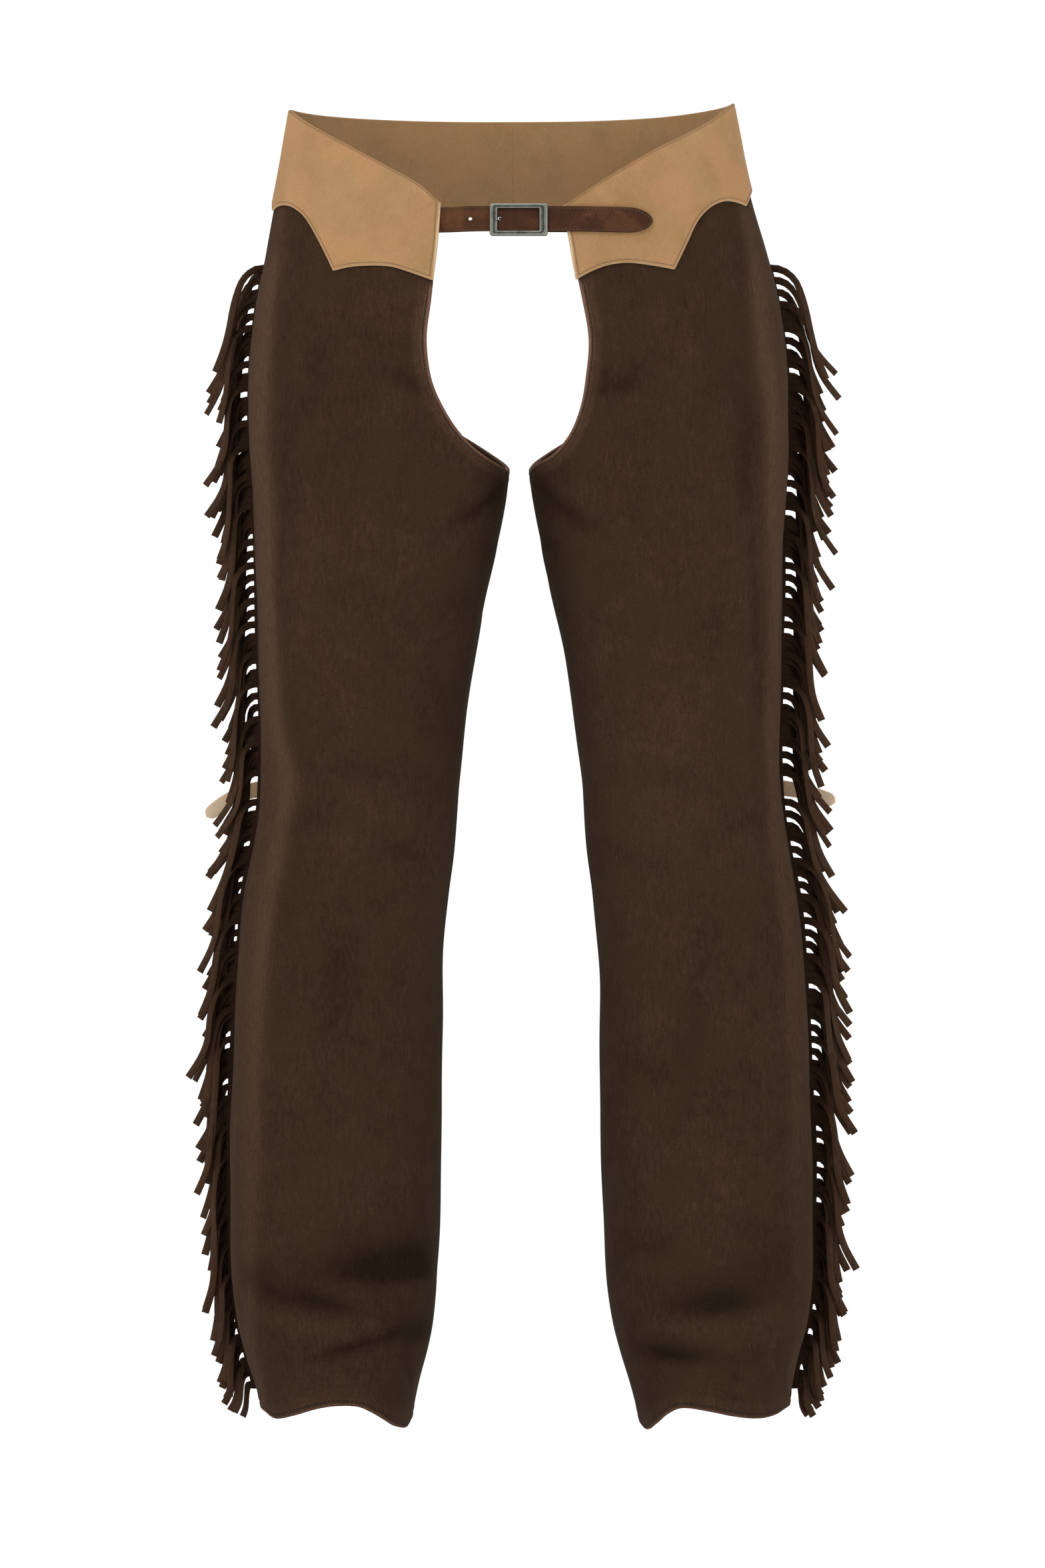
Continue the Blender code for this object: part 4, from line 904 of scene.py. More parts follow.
yokeLower = {
    # side: angle, height, 1 at a corner
    -1: ((112.5, -106.2, 1), (104.5, -99.8, 0), (97.9, -95.6, 0), (90.4, -94.3, 0),
         (80.0, -94.8, 0), (72.1, -97.1, 1), (67.3, -82.0, 0), (62.0, -67.5, 0),
         (55.8, -54.7, 0), (48.0, -46.8, 0), (40.0, -43.0, 0), (30.0, -42.0, 0),
         (20.0, -43.5, 1), (8.0, -34.0, 0), (-6.0, -28.0, 0), (-25.0, -25.0, 0),
         (-60.0, -26.0, 0), (-90.0, -27.0, 0), (-130.0, -25.0, 1)),
    1: ((120.2, -105.6, 1), (115.6, -99.5, 0), (110.5, -95.0, 0), (103.7, -92.9, 0),
        (94.3, -94.5, 0), (84.8, -97.0, 1), (78.9, -78.0, 0), (72.7, -60.5, 0),
        (65.6, -49.7, 0), (58.5, -44.2, 0), (52.1, -41.8, 0), (42.7, -41.9, 0),
        (35.5, -43.0, 1), (24.0, -33.0, 0), (10.0, -27.0, 0), (-6.0, -25.0, 0),
        (-25.0, -24.5, 0), (-60.0, -26.0, 0), (-90.0, -27.0, 0), (-130.0, -25.0, 1)),
}
yokeUpper = {
    -1: ((115.8, -49.0), (109.4, -34.3), (100.0, -22.2), (90.5, -11.8), (76.0, 1.6), (59.4, 14.2),
         (33.5, 29.5), (10.0, 36.0), (-15.0, 40.0), (-50.0, 43.0), (-90.0, 45.0), (-130.0, 46.0)),
    1: ((122.8, -51.7), (112.1, -33.0), (101.8, -18.9), (90.0, -5.5), (76.0, 6.0), (58.0, 19.5),
        (34.0, 34.5), (10.0, 41.0), (-15.0, 44.0), (-50.0, 46.0), (-90.0, 46.0), (-130.0, 46.0)),
}


def seamEdge(seam, sideOfSeam):
    # a seam's angle, moved half a gap to one side
    return seam + sideOfSeam * math.degrees(seamGap / 2 / 90.0)


def hemHeight(side, angle):
    turn = np.where(angle <= inseam + 0.5, angle, angle - 360)
    return readTable(hem, turn, 2 if side > 0 else 1)


def softRamp(share):
    return (share + smoothStep(share)) / 2


def panelSpots(side, cut, row, share):
    # angle and height at a row, counted from the panel's top, and a share of the way across
    seam, far, opening, top = cut
    row, share = np.broadcast_arrays(np.asarray(row, float), np.asarray(share, float))
    numbered = [(number, *spot) for number, spot in enumerate(opening)]
    down = np.clip(row / rowsAbove, 0, 1)
    start = top[0][1] + (crotchHeight - top[0][1]) * down
    endAngle, end = readTable(numbered, row, 1), readTable(numbered, row, 2)
    topAngle = top[0][0] + (top[-1][0] - top[0][0]) * share
    ramp = top[0][1] + (opening[0][1] - top[0][1]) * softRamp(share)
    height = start + (end - start) * softRamp(share)
    height = height + (straightTable(top, topAngle, 1) - ramp) * (1 - down) ** topFade
    below = np.clip((row - rowsAbove) / rowsBelow, 0, 1)
    legAngle = seam + (far - seam) * share
    legHeight = crotchHeight + (hemHeight(side, legAngle) - crotchHeight) * below
    onLeg = row >= rowsAbove
    angle = np.where(onLeg, legAngle, seam + (endAngle - seam) * share)
    return angle, np.where(onLeg, legHeight, height)


def panelRows():
    # rows close together where an edge needs them
    drop = (crotchHeight + 960) / rowsBelow  # millimetres in a row of the leg
    fineTop = np.array(legs["fineTop"])
    fineHem = np.array(legs["fineHem"])
    last = rowsAbove + rowsBelow
    near = rowsAbove + np.concatenate(((0,), fineTop[:-1])) / drop
    top, low = rowsAbove + fineTop[-1] / drop, last - fineHem[0] / drop
    leg = np.linspace(top, low, int((low - top) * drop / legs["rowStep"]) + 1)
    above = np.linspace(0, rowsAbove, 60, endpoint=False)
    return np.concatenate((above, near, leg, last - fineHem[1:] / drop))


def panelShares(side, cut, rows):
    # for each row, shares that lie at chosen distances from its two ends
    fromSeam, fromInseam = np.array(legs["fineSeam"]), np.array(legs["fineInseam"])[::-1]
    coarse = np.linspace(0, 1, 60)
    angle, height = panelSpots(side, cut, rows[:, None], coarse[None, :])
    run = np.linalg.norm(np.diff(barePoint(side, angle, height), axis=1), axis=-1)
    along = np.concatenate((np.zeros((len(rows), 1)), np.cumsum(run, axis=1)), axis=1)
    columns = int((along[:, -1].mean() - 20) / legs["columnStep"])
    shares, places = [], []
    for walked in along:
        middle = np.linspace(fromSeam[-1], walked[-1] - fromInseam[0], columns + 1)
        places.append(np.concatenate((fromSeam[:-1], middle, walked[-1] - fromInseam[1:])))
        shares.append(np.interp(places[-1], walked, coarse))
    shares, places = np.array(shares), np.array(places)
    shares[:, 0], shares[:, -1] = 0, 1
    return shares, places, along[:, -1:] - places


def nearLine(bare, chosen, line):
    # distance to a line from the chosen points; the others count as far
    distance = np.full(chosen.shape, farAway)
    distance[chosen] = distanceTo(bare[chosen], line)
    return distance


def panelShades(side, turn, height):
    # painted light and shade along a leg: the painted sheen highlight, the painted shade
    # inside it, and the painted shade and highlights of the creases
    column = 2 if side > 0 else 1
    peak = readTable(legs["streak"], height, column)
    strength = readTable(legs["streakStrength"], height, column)
    streak = gully(turn, peak, np.where(turn < peak, *legs["streakSpread"]))
    streak = strength * (streak + 0.2 * gully(turn, peak - 18, 5.0))
    away, spread, depth = legs["beside"]
    shadeBesideStreak = depth * strength * gully(turn, peak + away, spread)
    return (streak, shadeBesideStreak, *creaseShade(side, turn, height))


def buildPanel(side, name, cut, stitchedBelow):
    rows = panelRows()
    shares, fromSeam, fromInseam = panelShares(side, cut, rows)
    rows = rows[:, None]
    angle, height = panelSpots(side, cut, rows, shares)
    bare, out = barePoint(side, angle, height), outward(side, angle, height)
    # the free edges as lines of points
    down, across = np.linspace(0, rowsAbove, 420), np.linspace(0, 1, 330)
    openingSpots = panelSpots(side, cut, down, np.ones_like(down))
    hemSpots = panelSpots(side, cut, np.full_like(across, rowsAbove + rowsBelow), across)
    opening, hemLine = barePoint(side, *openingSpots), barePoint(side, *hemSpots)
    high = (height > crotchHeight - 30) & (rows < rowsAbove + 1.2) & (fromInseam < 110)
    toOpening, toHem = nearLine(bare, high, opening), nearLine(bare, height < -915, hemLine)
    lap = np.minimum(fromSeam, np.where(rows >= rowsAbove, fromInseam, farAway))
    edge = np.minimum(np.minimum(toOpening, toHem), farAway)
    anyEdge = np.minimum(edge, lap)
    turn = np.where(angle > inseam + 0.5, angle - 360, angle)
    # what the turned and sewn edge does, below the yoke
    bareOfYoke = smoothStep((scallop(yokeLower[side], turn) - 1.5 - height) / 5)
    byHem = smoothStep((toOpening - toHem) / 4)
    onTurned = (1 - smoothStep((edge - legs["turnedWidth"] + 0.5) / 1.4)) * bareOfYoke
    under = (1 - smoothStep((edge - legs["underWidth"]) / 1.4)) * bareOfYoke
    groove = gully(edge, legs["grooveAt"], legs["grooveWidth"]) * bareOfYoke
    mark = gully(edge, legs["markAt"], legs["markWidth"]) * bareOfYoke
    band = gully(edge, *legs["paleBand"]) * bareOfYoke
    relief = legs["turnedRise"] * onTurned + legs["markRise"] * mark - legs["groove"] * groove
    relief = relief - legs["seamDip"] * gully(lap, 0, legs["seamWidth"])
    outside = wall + relief - rounded(anyEdge, legs["edgeRadius"])
    inside = -legs["underThickness"] * under + rounded(anyEdge, legs["innerRadius"])
    streak, shadeBesideStreak, creased, ridgeHighlight = panelShades(side, turn, height)
    beside = np.maximum(0.55 * mark, 0.62 * band) * (1 - 0.6 * byHem)
    # painted light: the sheen streak and crease ridges, with the lighter patches and the pale band
    # by the sewing
    lighter = np.maximum(streak, beside) + ridgeHighlight + pushFrom(side, turn, height, legs["pale"])
    # painted shade: the stitch groove, the creases and beside the streak, with the darker seam line
    shadeAndSeams = np.maximum(np.maximum(0.9 * groove, 0.8 * gully(lap, 0, 1.2)), creased) + shadeBesideStreak
    hemWidth, hemStrength = legs["hemRim"]
    rim = smoothStep((legs["rimWidth"] - toOpening) / 0.9 + 0.5)
    rim = np.maximum(rim, hemStrength * smoothStep((hemWidth - toHem) / 0.8 + 0.5)) * bareOfYoke
    marks = {
        "turned": (onTurned * 0.4, (0.8 - 0.6 * byHem) * onTurned * (1 - 0.4 * groove)),
        "litAndBrushed": (np.full_like(edge, 0.35), np.clip(lighter, 0, 1)),
        # the inner face is painted in shade behind the stitch groove too
        "sunk": (0.5 * gully(edge, legs["grooveAt"], 0.6), np.clip(shadeAndSeams, 0, 1)),
        "rim": (rim, rim),
    }
    inner, outer = bare + out * inside[..., None], bare + out * outside[..., None]
    piece = placeShell(name, inner, outer, "brownSuede", marks)
    # stitch lines beside the opening, where the yoke leaves it bare, and the hem
    lift = wall + legs["turnedRise"] - legs["groove"] * 0.35
    aside = barePoint(side, openingSpots[0] + (cut[0] - openingSpots[0]) * 0.05, openingSpots[1])
    above = barePoint(side, hemSpots[0], hemSpots[1] + 8)
    paths = []
    for line, spots, within, limit in ((opening, openingSpots, aside, stitchedBelow),
                                       (hemLine, hemSpots, above, crotchHeight)):
        path = insetPath(line, outward(side, *spots), within, legs["grooveAt"], lift)
        shown = path["points"][:, 2] < limit
        paths.append({key: value[shown] for key, value in path.items()})
    return piece, paths


for side, sideName in sides:
    frontCut = (seamEdge(outerSeam, 1), seamEdge(inseam, -1), frontOpening[side], panelTop)
    backCut = (seamEdge(outerSeam, -1) + 360, seamEdge(inseam, 1), backOpening, backTop)
    for part, cut in (("front", frontCut), ("back", backCut)):
        ending = f"_{part}_{sideName}"
        piece, paths = buildPanel(side, "suedeLeg" + ending, cut, legs["stitchedBelow"][part])
        sewing = placeStitches("legStitches" + ending, paths, legs["stitches"], "brownThread")
        flat, area = legs["cut"][part]
        handIn(piece, "leg" + ending, "brown_suede", sewing, flat=flat, area=area, held="hung",
               rests_on=[f"yoke_{sideName}"])


yokes = {
    "fine": (0, 0.35, 0.8, 1.3, 1.9, 2.5, 3.0, 3.5, 4.1, 5.0, 6.5),  # rows beside an edge
    "columnAngle": 1.15,
    "rowStep": 3.4,
    "edgeRadius": 0.95,
    "innerRadius": 0.6,
    "backGap": -0.02,  # the halves meet here, pressed together
    "backRadius": 0.35,
    "backDip": (0.4, 1.6),  # depth and width
    "grooveAt": (2.3, 1.4, 3.1),  # from the scalloped, the upper and the front edge
    "groove": 0.22,
    "plump": 0.16,  # how much the leather swells between its sewing and its edge
    "cutFace": 1.5,  # how far the pale cut of the front edge shows at its middle
    "frontLean": {1: 2.6, -1: 3.3},  # degrees that the front edge leans back at its top
    "leanStart": 40.0,  # the angle where that begins
    "backFrom": -105.0,  # past this angle the columns run on to the centre back
    "stitches": {"pitch": 2.0, "length": 1.45, "thickness": 0.46, "wander": 3.5, "seed": 8},
    "cut": ((0.345, 0.165), 0.032),
}


def yokeSpots(side, share, up):
    # angle and height at a share of the way round from the front edge, and a share of the way up
    share, up = np.broadcast_arrays(np.asarray(share, float), np.asarray(up, float))
    lower, upper = yokeLower[side], yokeUpper[side]
    angle = lower[0][0] + (lower[-1][0] - lower[0][0]) * share
    low = scallop(lower, angle)
    forward = (angle - yokes["leanStart"]) / (lower[0][0] - yokes["leanStart"])
    topAngle = angle + yokes["frontLean"][side] * smoothStep(forward)
    high = readTable(upper, topAngle, 1)
    height = low + (high - low) * up
    angle = angle + (topAngle - angle) * up
    # the last columns reach the centre back at every height
    centre = legCentre(height) - yokes["backGap"]
    back = readTable(bodySections, height, 3)
    end = -np.degrees(np.arctan2(back, -centre))
    past = np.clip((yokes["backFrom"] - angle) / (yokes["backFrom"] - lower[-1][0]), 0, 1)
    return angle + (end - lower[-1][0]) * past, height


def yokeGrid(side, corners):
    # shares round the yoke and up it, with columns close together at its edges and corners
    lower, fine, step = yokeLower[side], np.array(yokes["fine"]), yokes["columnAngle"]
    first, last = lower[0][0], lower[-1][0]
    turns = first - fine / 100.0 * 57.3
    angles = [*turns, *np.arange(turns[-1] - step, last + 1.6, -step)]
    angles += [last + more for more in (1.2, 0.7, 0.35, 0.15, 0.0)]
    angles = [angle for angle in angles if min(abs(angle - corner) for corner in corners) > 0.5]
    angles += [corner + more for corner in corners for more in (-0.45, 0.0, 0.45)]
    shares = (np.sort(angles)[::-1] - first) / (last - first)
    tall = yokeSpots(side, shares, 1)[1] - yokeSpots(side, shares, 0)[1]
    steps = int(tall.max() / yokes["rowStep"])
    ups = []
    for length in tall:
        middle = np.linspace(fine[-1], length - fine[-1], steps + 1)
        ups.append(np.concatenate((fine[:-1], middle, length - fine[:-1][::-1])) / length)
    return shares[None, :], np.array(ups).T


def yokeEdges(side, corners):
    # angles and heights along the lower, the upper and the front edge
    first, last = yokeLower[side][0][0], yokeLower[side][-1][0]
    along = np.concatenate((np.linspace(0, 1, 900), (np.array(corners) - first) / (last - first)))
    along, ups = np.sort(along), np.linspace(0, 1, 120)
    return (yokeSpots(side, along, np.zeros_like(along)),
            yokeSpots(side, along, np.ones_like(along)), yokeSpots(side, np.zeros_like(ups), ups))


def yokeSewing(side, spots, lines):
    # stitch rows inside the three edges and beside the seam at the back
    lift, paths = yokeOuter - yokes["groove"] * 0.4, []
    for number, towards in enumerate(((0, 6), (0, -6), (-4, 0))):
        angle, height = spots[number]
        at = yokes["grooveAt"][number]
        within = barePoint(side, angle + towards[0], height + towards[1])
        path = insetPath(lines[number], outward(side, angle, height), within, at, lift)
        flat = path["points"] - path["out"] * yokeOuter
        clear = side * (path["points"][:, 0] - readTable(lean, path["points"][:, 2], 1)) > seamGap
        for other in range(3):
            if other != number:
                clear &= distanceTo(flat, lines[other]) > at * 0.8
        paths.append({key: value[clear] for key, value in path.items()})
    ups = np.linspace(0.06, 0.94, 40)
    back = yokeSpots(side, np.ones_like(ups), ups)
    out = outward(side, *back)
    aside = np.array((side * yokes["grooveAt"][2], 0, 0))
    return [*paths, {"points": barePoint(side, *back) + out * lift + aside, "out": out}]


def buildYoke(side, sideName):
    corners = [row[0] for row in yokeLower[side] if row[2]][1:-1]
    share, up = yokeGrid(side, corners)
    angle, height = yokeSpots(side, share, up)
    bare, out = barePoint(side, angle, height), outward(side, angle, height)
    spots = yokeEdges(side, corners)
    lines = [barePoint(side, *spot) for spot in spots]
    byLower, byUpper, byFront = apart = [distanceTo(bare, line) for line in lines]
    edge = np.minimum(np.minimum(byLower, byUpper), byFront)
    toBack = np.abs(side * (bare[..., 0] - readTable(lean, height, 1)) - yokes["backGap"])
    toBack = toBack + np.where(angle > yokes["backFrom"], farAway, 0)
    groove = 0.9 * gully(toBack, yokes["grooveAt"][2], 0.55)
    for number, at in enumerate(yokes["grooveAt"]):
        others = np.minimum(*(apart[other] - yokes["grooveAt"][other]
                              for other in range(3) if other != number))
        groove = np.maximum(groove, gully(apart[number], at, 0.5) * smoothStep(others + 0.8))
    swell = gully(edge, 1.6, 0.9) + gully(edge, 5.2, 1.5)
    relief = yokes["plump"] * swell - yokes["groove"] * groove
    backDip, backWidth = yokes["backDip"]
    relief = relief - backDip * gully(toBack, 0, backWidth)
    worn = np.maximum(rounded(edge, yokes["edgeRadius"]), rounded(toBack, yokes["backRadius"]))
    outside, inside = yokeOuter + relief - worn, yokeLift + rounded(edge, yokes["innerRadius"])
    face = yokes["cutFace"] * np.sin(math.pi * np.clip(up * 0.92 + 0.04, 0, 1)) ** 0.6
    rim = smoothStep((face - byFront) / 0.7 + 0.5)
    rim = np.maximum(rim, 0.55 * np.clip(1 - byLower / 0.7, 0, 1))
    soft = 0.22 * smoothStep(1 - np.minimum(byLower, byFront) / 4.5)
    seamShade = 0.55 * np.clip(1 - byUpper / 0.8, 0, 1) * smoothStep((byFront - 2) / 2)
    # painted shade in the stitch grooves, the shade along the upper seam, and the darker back seam
    shadeAndSeams = 0.42 * groove + seamShade + 0.6 * gully(toBack, 0, 0.9)
    zero = np.zeros_like(edge)
    marks = {
        "turned": (zero, soft * (1 - groove)), "litAndBrushed": (zero + 0.2, zero),
        "sunk": (zero, np.clip(shadeAndSeams, 0, 1)), "rim": (rim, rim),
    }
    inner, outer = bare + out * inside[..., None], bare + out * outside[..., None]
    piece = placeShell(f"suedeYoke_{sideName}", inner, outer, "tanSuede", marks)
    return piece, yokeSewing(side, spots, lines)


for side, sideName in sides:
    piece, paths = buildYoke(side, sideName)
    sewing = placeStitches(f"yokeStitches_{sideName}", paths, yokes["stitches"], "yokeThread")
    flat, area = yokes["cut"]
    handIn(piece, f"yoke_{sideName}", "tan_suede", sewing, flat=flat, area=area, held="stretched",
           rests_on=["front_strap"])


fringe = {
    "top": -80.0,  # root of the first strand
    "pitch": 9.2,
    "count": 95,
    "backing": 7.5,  # uncut width beside the seam
    "hang": (
        # height, how far out the left strands reach there, the right ones, how far down
        (-80, 1.18, 0.88, 1.0), (-150, 1.12, 0.92, 1.0), (-300, 1.06, 0.95, 1.0),
        (-400, 1.10, 0.92, 1.0), (-480, 1.16, 0.90, 1.0), (-560, 1.02, 0.73, 1.0),
        (-640, 0.96, 0.76, 1.0), (-700, 0.80, 0.66, 1.0), (-750, 0.80, 0.46, 1.0),
        (-800, 0.66, 0.38, 0.95), (-850, 0.62, 0.36, 0.80), (-900, 0.50, 0.36, 0.62),
        (-945, 0.35, 0.35, 0.33),
    ),
    "width": 5.8,
    "thickness": 1.3,
    "corner": 0.35,
    "steps": 17,
    "lane": 6.3,  # strands hang in this many millimetres for each lane, front to back
    "lanes": (-2, 0, 2, -1, 1),
    "path": (
        # outward, down, turn, share of the lane, share of the kick, width, painted shade
        (-2.0, 0.0, 0, 0.0, 0.0, 1.45, 0.72), (0.0, 0.0, 0, 0.0, 0.0, 1.45, 0.72),
        (3.6, 0.5, 6, 0.15, 0.0, 1.16, 0.66), (8.2, 3.6, 14, 0.45, 0.0, 1.0, 0.55),
        (11.8, 11.5, 24, 0.9, 0.0, 0.98, 0.38), (13.8, 28.0, 28, 1.0, 0.0, 0.98, 0.16),
        (15.2, 48.0, 26, 1.0, 0.05, 0.98, 0.05), (18.8, 63.0, 18, 1.0, 0.4, 1.02, 0.0),
        (26.5, 79.0, 12, 1.0, 1.0, 1.12, 0.0),
    ),
    "spread": 3.4,  # how far strands wander to each side of the hanging mass
    "depthSpread": 1.6,
    "turnSpread": 20.0,
    "kickSpread": 6.5,  # and how far their tips do
    "lengthSpread": 0.10,
    "between": 0.55,  # share of the gaps that a second strand closes
    "seed": 17,
    "cut": ((0.112, 0.875), 0.088),
}


def seamFrame(side, height):
    # point on the outer seam, with the level ways straight out and to the back
    height = np.asarray(height, float)
    angle = np.full_like(height, outerSeam)
    out = outward(side, angle, height)
    point = barePoint(side, angle, height) + out * wall
    out[..., 2] = 0
    out = unit(out)
    back = np.stack((-out[..., 1], out[..., 0], np.zeros_like(height)), -1) * side
    return point, out, back


def strandGuide(side, root, lane, chance):
    # one strand, from the backing's edge to its kicked-out tip
    aside, deep, turned, kicked, longer = chance
    point, out, back = (part[0] for part in seamFrame(side, np.array([root])))
    edge = point + out * fringe["backing"]
    path = np.array(fringe["path"])
    reach = float(readTable(fringe["hang"], root, 1 if side > 0 else 2))
    fall = float(readTable(fringe["hang"], root, 3)) * (1 + fringe["lengthSpread"] * longer)
    below = seamFrame(side, root - path[:, 1] * fall)[0]
    flare = np.maximum((below - point) @ out, 0)
    hanging = smoothStep(path[:, 1] / 25)
    wander = fringe["spread"] * aside * hanging + fringe["kickSpread"] * kicked * path[:, 4]
    outwards = path[:, 0] * reach + flare + wander * min(fall, 1)
    sideways = path[:, 3] * (lane * fringe["lane"] + fringe["depthSpread"] * deep)
    spots = edge + outwards[:, None] * out + sideways[:, None] * back
    spots[:, 2] -= path[:, 1] * fall
    ahead = unit(np.gradient(spots, axis=0))
    ahead[:2] = out
    flat = unit(back - ahead * (ahead @ back)[:, None])
    wide = np.cross(ahead, flat) * side
    turns = np.radians(path[:, 2] + fringe["turnSpread"] * turned * hanging)[:, None]
    # the last column of the path paints shade on each strand near its root
    return {"points": spots, "across": wide * np.cos(turns) + flat * np.sin(turns),
            "wide": path[:, 5], "sunk": path[:, 6]}


def strandGuides(side):
    chance = np.random.default_rng(fringe["seed"] + side)
    guides = []
    for index in range(fringe["count"]):
        root = fringe["top"] - index * fringe["pitch"]
        lane = fringe["lanes"][index % len(fringe["lanes"])]
        draws = chance.uniform(-1, 1, 5)
        between, more = chance.random(), chance.uniform(-1, 1, 5)
        if abs(root - kneeHeight) >= fringe["pitch"]:
            guides.append(strandGuide(side, root, lane, draws))
        middle = root - fringe["pitch"] / 2
        last = index == fringe["count"] - 1
        clear = abs(middle - kneeHeight) >= fringe["pitch"] * 1.1
        if between < fringe["between"] and clear and not last:
            guides.append(strandGuide(side, middle, -lane * 0.8 + 0.4, more))
    return guides


def buildBacking(side, name):
    # the uncut edge of the strip, along the outer seam
    low = fringe["top"] - (fringe["count"] - 1) * fringe["pitch"] - fringe["width"] / 2
    high = fringe["top"] + fringe["width"] / 2
    heights = np.concatenate(((high,), np.linspace(high - 0.4, low + 0.4, 200), (low,)))
    point, out, back = seamFrame(side, heights)
    half, far, soft = fringe["thickness"] / 2, fringe["backing"], 0.3
    around = ((0.1, -half), (far / 2, -half), (far - soft, -half), (far, -half + soft),
              (far, half - soft), (far - soft, half), (far / 2, half), (0.1, half))
    rings = np.stack([point + out * reach + back * aside for reach, aside in around], axis=1)
    # painted shade all over the backing, which hangs in the strands' shadow
    return placeTube(name, rings, "fringeSuede", {"sunk": np.full(rings.shape[:2], 0.8)})


def buildFringe(side, sideName):
    guides = strandGuides(side)
    strands = strandPattern.grow(f"strands_{sideName}", placeGuide("strandGuide", guides), {
        "Width": fringe["width"] * mm, "Thickness": fringe["thickness"] * mm,
        "Corner": fringe["corner"] * mm, "Steps": fringe["steps"],
        "Material": finishes["fringeSuede"]})
    print(len(guides), "strands on the", sideName)
    backing = buildBacking(side, f"backing_{sideName}")
    return joinPieces(f"suedeFringe_{sideName}", [backing, strands])


for side, sideName in sides:
    flat, area = fringe["cut"]
    handIn(buildFringe(side, sideName), f"fringe_{sideName}", "fringe_suede", flat=flat, area=area,
           held="hung", rests_on=[f"leg_front_{sideName}", f"leg_back_{sideName}"])


kneeStraps = {
    "width": 14.0,
    "columns": 11,  # the back of the leg is counted in these
    "starts": 2.3,  # columns in from the inseam
    "leaves": 3,  # columns before the outer seam, where it comes off the leg
    "round": 40,  # steps behind the knee
    "free": {1: 92.0, -1: 96.0},  # length of the free end
    "steps": 48,  # along it
    "peel": 6.0,  # degrees by which it leaves the leg
    "heading": -3.0,  # where it points at last, and by which share of its length
    "settles": 0.5,
    "droop": {1: 28.0, -1: 54.0},  # degrees, from one share of its length over another
    "droopFrom": 0.2,
    "droopOver": 1.1,
    "taper": 0.25,
    "paintedLightAt": 0.45,  # where the free end is painted lighter, for its part that the leg and fringe shade
    "tip": 6.5,  # length of the rounded end
    "corner": 0.55,
    "cut": (0.014, 0.235),
}


def roundedOutline(left, right, low, high, corner, steps=6):
    # a rectangle with rounded corners, as points of two numbers
    outline = []
    for quarter, (x, z) in enumerate(((right, high), (left, high), (left, low), (right, low))):
        middle = (x - corner if x == right else x + corner, z - corner if z == high else z + corner)
        turns = (90 * (quarter + step / steps) for step in range(steps + 1))
        outline += roundPoints(middle, corner, turns)
    return np.array(outline)


def roundPoints(middle, radius, turns):
    return [(middle[0] + radius * math.cos(math.radians(turn)),
             middle[1] + radius * math.sin(math.radians(turn))) for turn in turns]


def roundedRing(halfWidth, halfThick, corner):
    # a strap's section, as (along its width, through it)
    corner = min(corner, halfThick * 0.98, halfWidth * 0.98)
    return roundedOutline(-halfWidth, halfWidth, -halfThick, halfThick, corner, 3)


def kneeCourse(side):
    # middles of the strap with the ways across it and away from the leg: round the back of
    # the knee, then out along the free end
    looks, half = kneeStraps, kneeStraps["width"] / 2
    span = seamEdge(inseam, 1) - seamEdge(outerSeam, -1) - 360
    count = looks["columns"]
    places = np.linspace(count - looks["starts"], looks["leaves"], looks["round"])
    angles = outerSeam + 360 + span * places / count
    level = np.full_like(angles, kneeHeight)
    lift = np.full_like(angles, wall + seamGap + 0.15 + wall / 2)
    low, high = (leatherPoint(side, angles, level + way * half, lift) for way in (-1, 1))
    middles, ups = list((low + high) / 2), list((high - low) / (2 * half))
    aways = list(outward(side, angles, level))
    along = middles[-1] - middles[-3]
    heading = math.atan2(along[1], along[0] * side) + math.radians(looks["peel"])
    settled = math.radians(looks["heading"])
    for step in range(1, looks["steps"] + 1):
        share = step / looks["steps"]
        turn = heading + (settled - heading) * float(smoothStep(share / looks["settles"]))
        sunkShare = float(smoothStep((share - looks["droopFrom"]) / looks["droopOver"]))
        droop = math.radians(looks["droop"][side]) * sunkShare
        flat = np.array((side * math.cos(turn), math.sin(turn), 0))
        forward = flat * math.cos(droop) - np.array((0, 0, math.sin(droop)))
        middles.append(middles[-1] + forward * (looks["free"][side] / looks["steps"]))
        ups.append(flat * math.sin(droop) + np.array((0, 0, math.cos(droop))))
        aways.append(np.array((-side * math.sin(turn), math.cos(turn), 0)))
    return middles, ups, aways


def buildKneeStrap(side, name):
    looks, half = kneeStraps, kneeStraps["width"] / 2
    course = list(zip(*kneeCourse(side)))
    rings = []
    for number, (middle, up, away) in enumerate(course):
        fromTip = (len(course) - 1 - number) * (looks["free"][side] / looks["steps"])
        rounding = math.sqrt(max(1 - (1 - min(fromTip / looks["tip"], 1.0)) ** 2, 0.0))
        taper = 1 - looks["taper"] * max(1 - fromTip / looks["free"][side], 0.0)
        ring = roundedRing(max(half * taper * rounding, 0.5), wall / 2, looks["corner"])
        rings.append([middle + up * wide + away * through for wide, through in ring])
    full = roundedRing(half, wall / 2, looks["corner"])
    rim = np.array([abs(wide) > half - 0.7 for wide, through in full], float)
    free = (np.arange(len(course)) - looks["round"]) / looks["steps"]
    # painted light on the free end, where the leg and fringe shade it
    paintedLight = np.exp(-(((free - looks["paintedLightAt"]) / 0.22) ** 2))[:, None]
    marks = {"rim": rim * (1 - paintedLight), "litAndBrushed": np.tile(paintedLight, (1, len(full)))}
    return placeTube(name, np.array(rings), "kneeStrapSuede", marks)


for side, sideName in sides:
    piece = buildKneeStrap(side, f"kneeStrap_{sideName}")
    handIn(piece, f"knee_strap_{sideName}", "knee_strap_suede", flat=kneeStraps["cut"], held="hung",
           rests_on=[f"leg_back_{sideName}"])


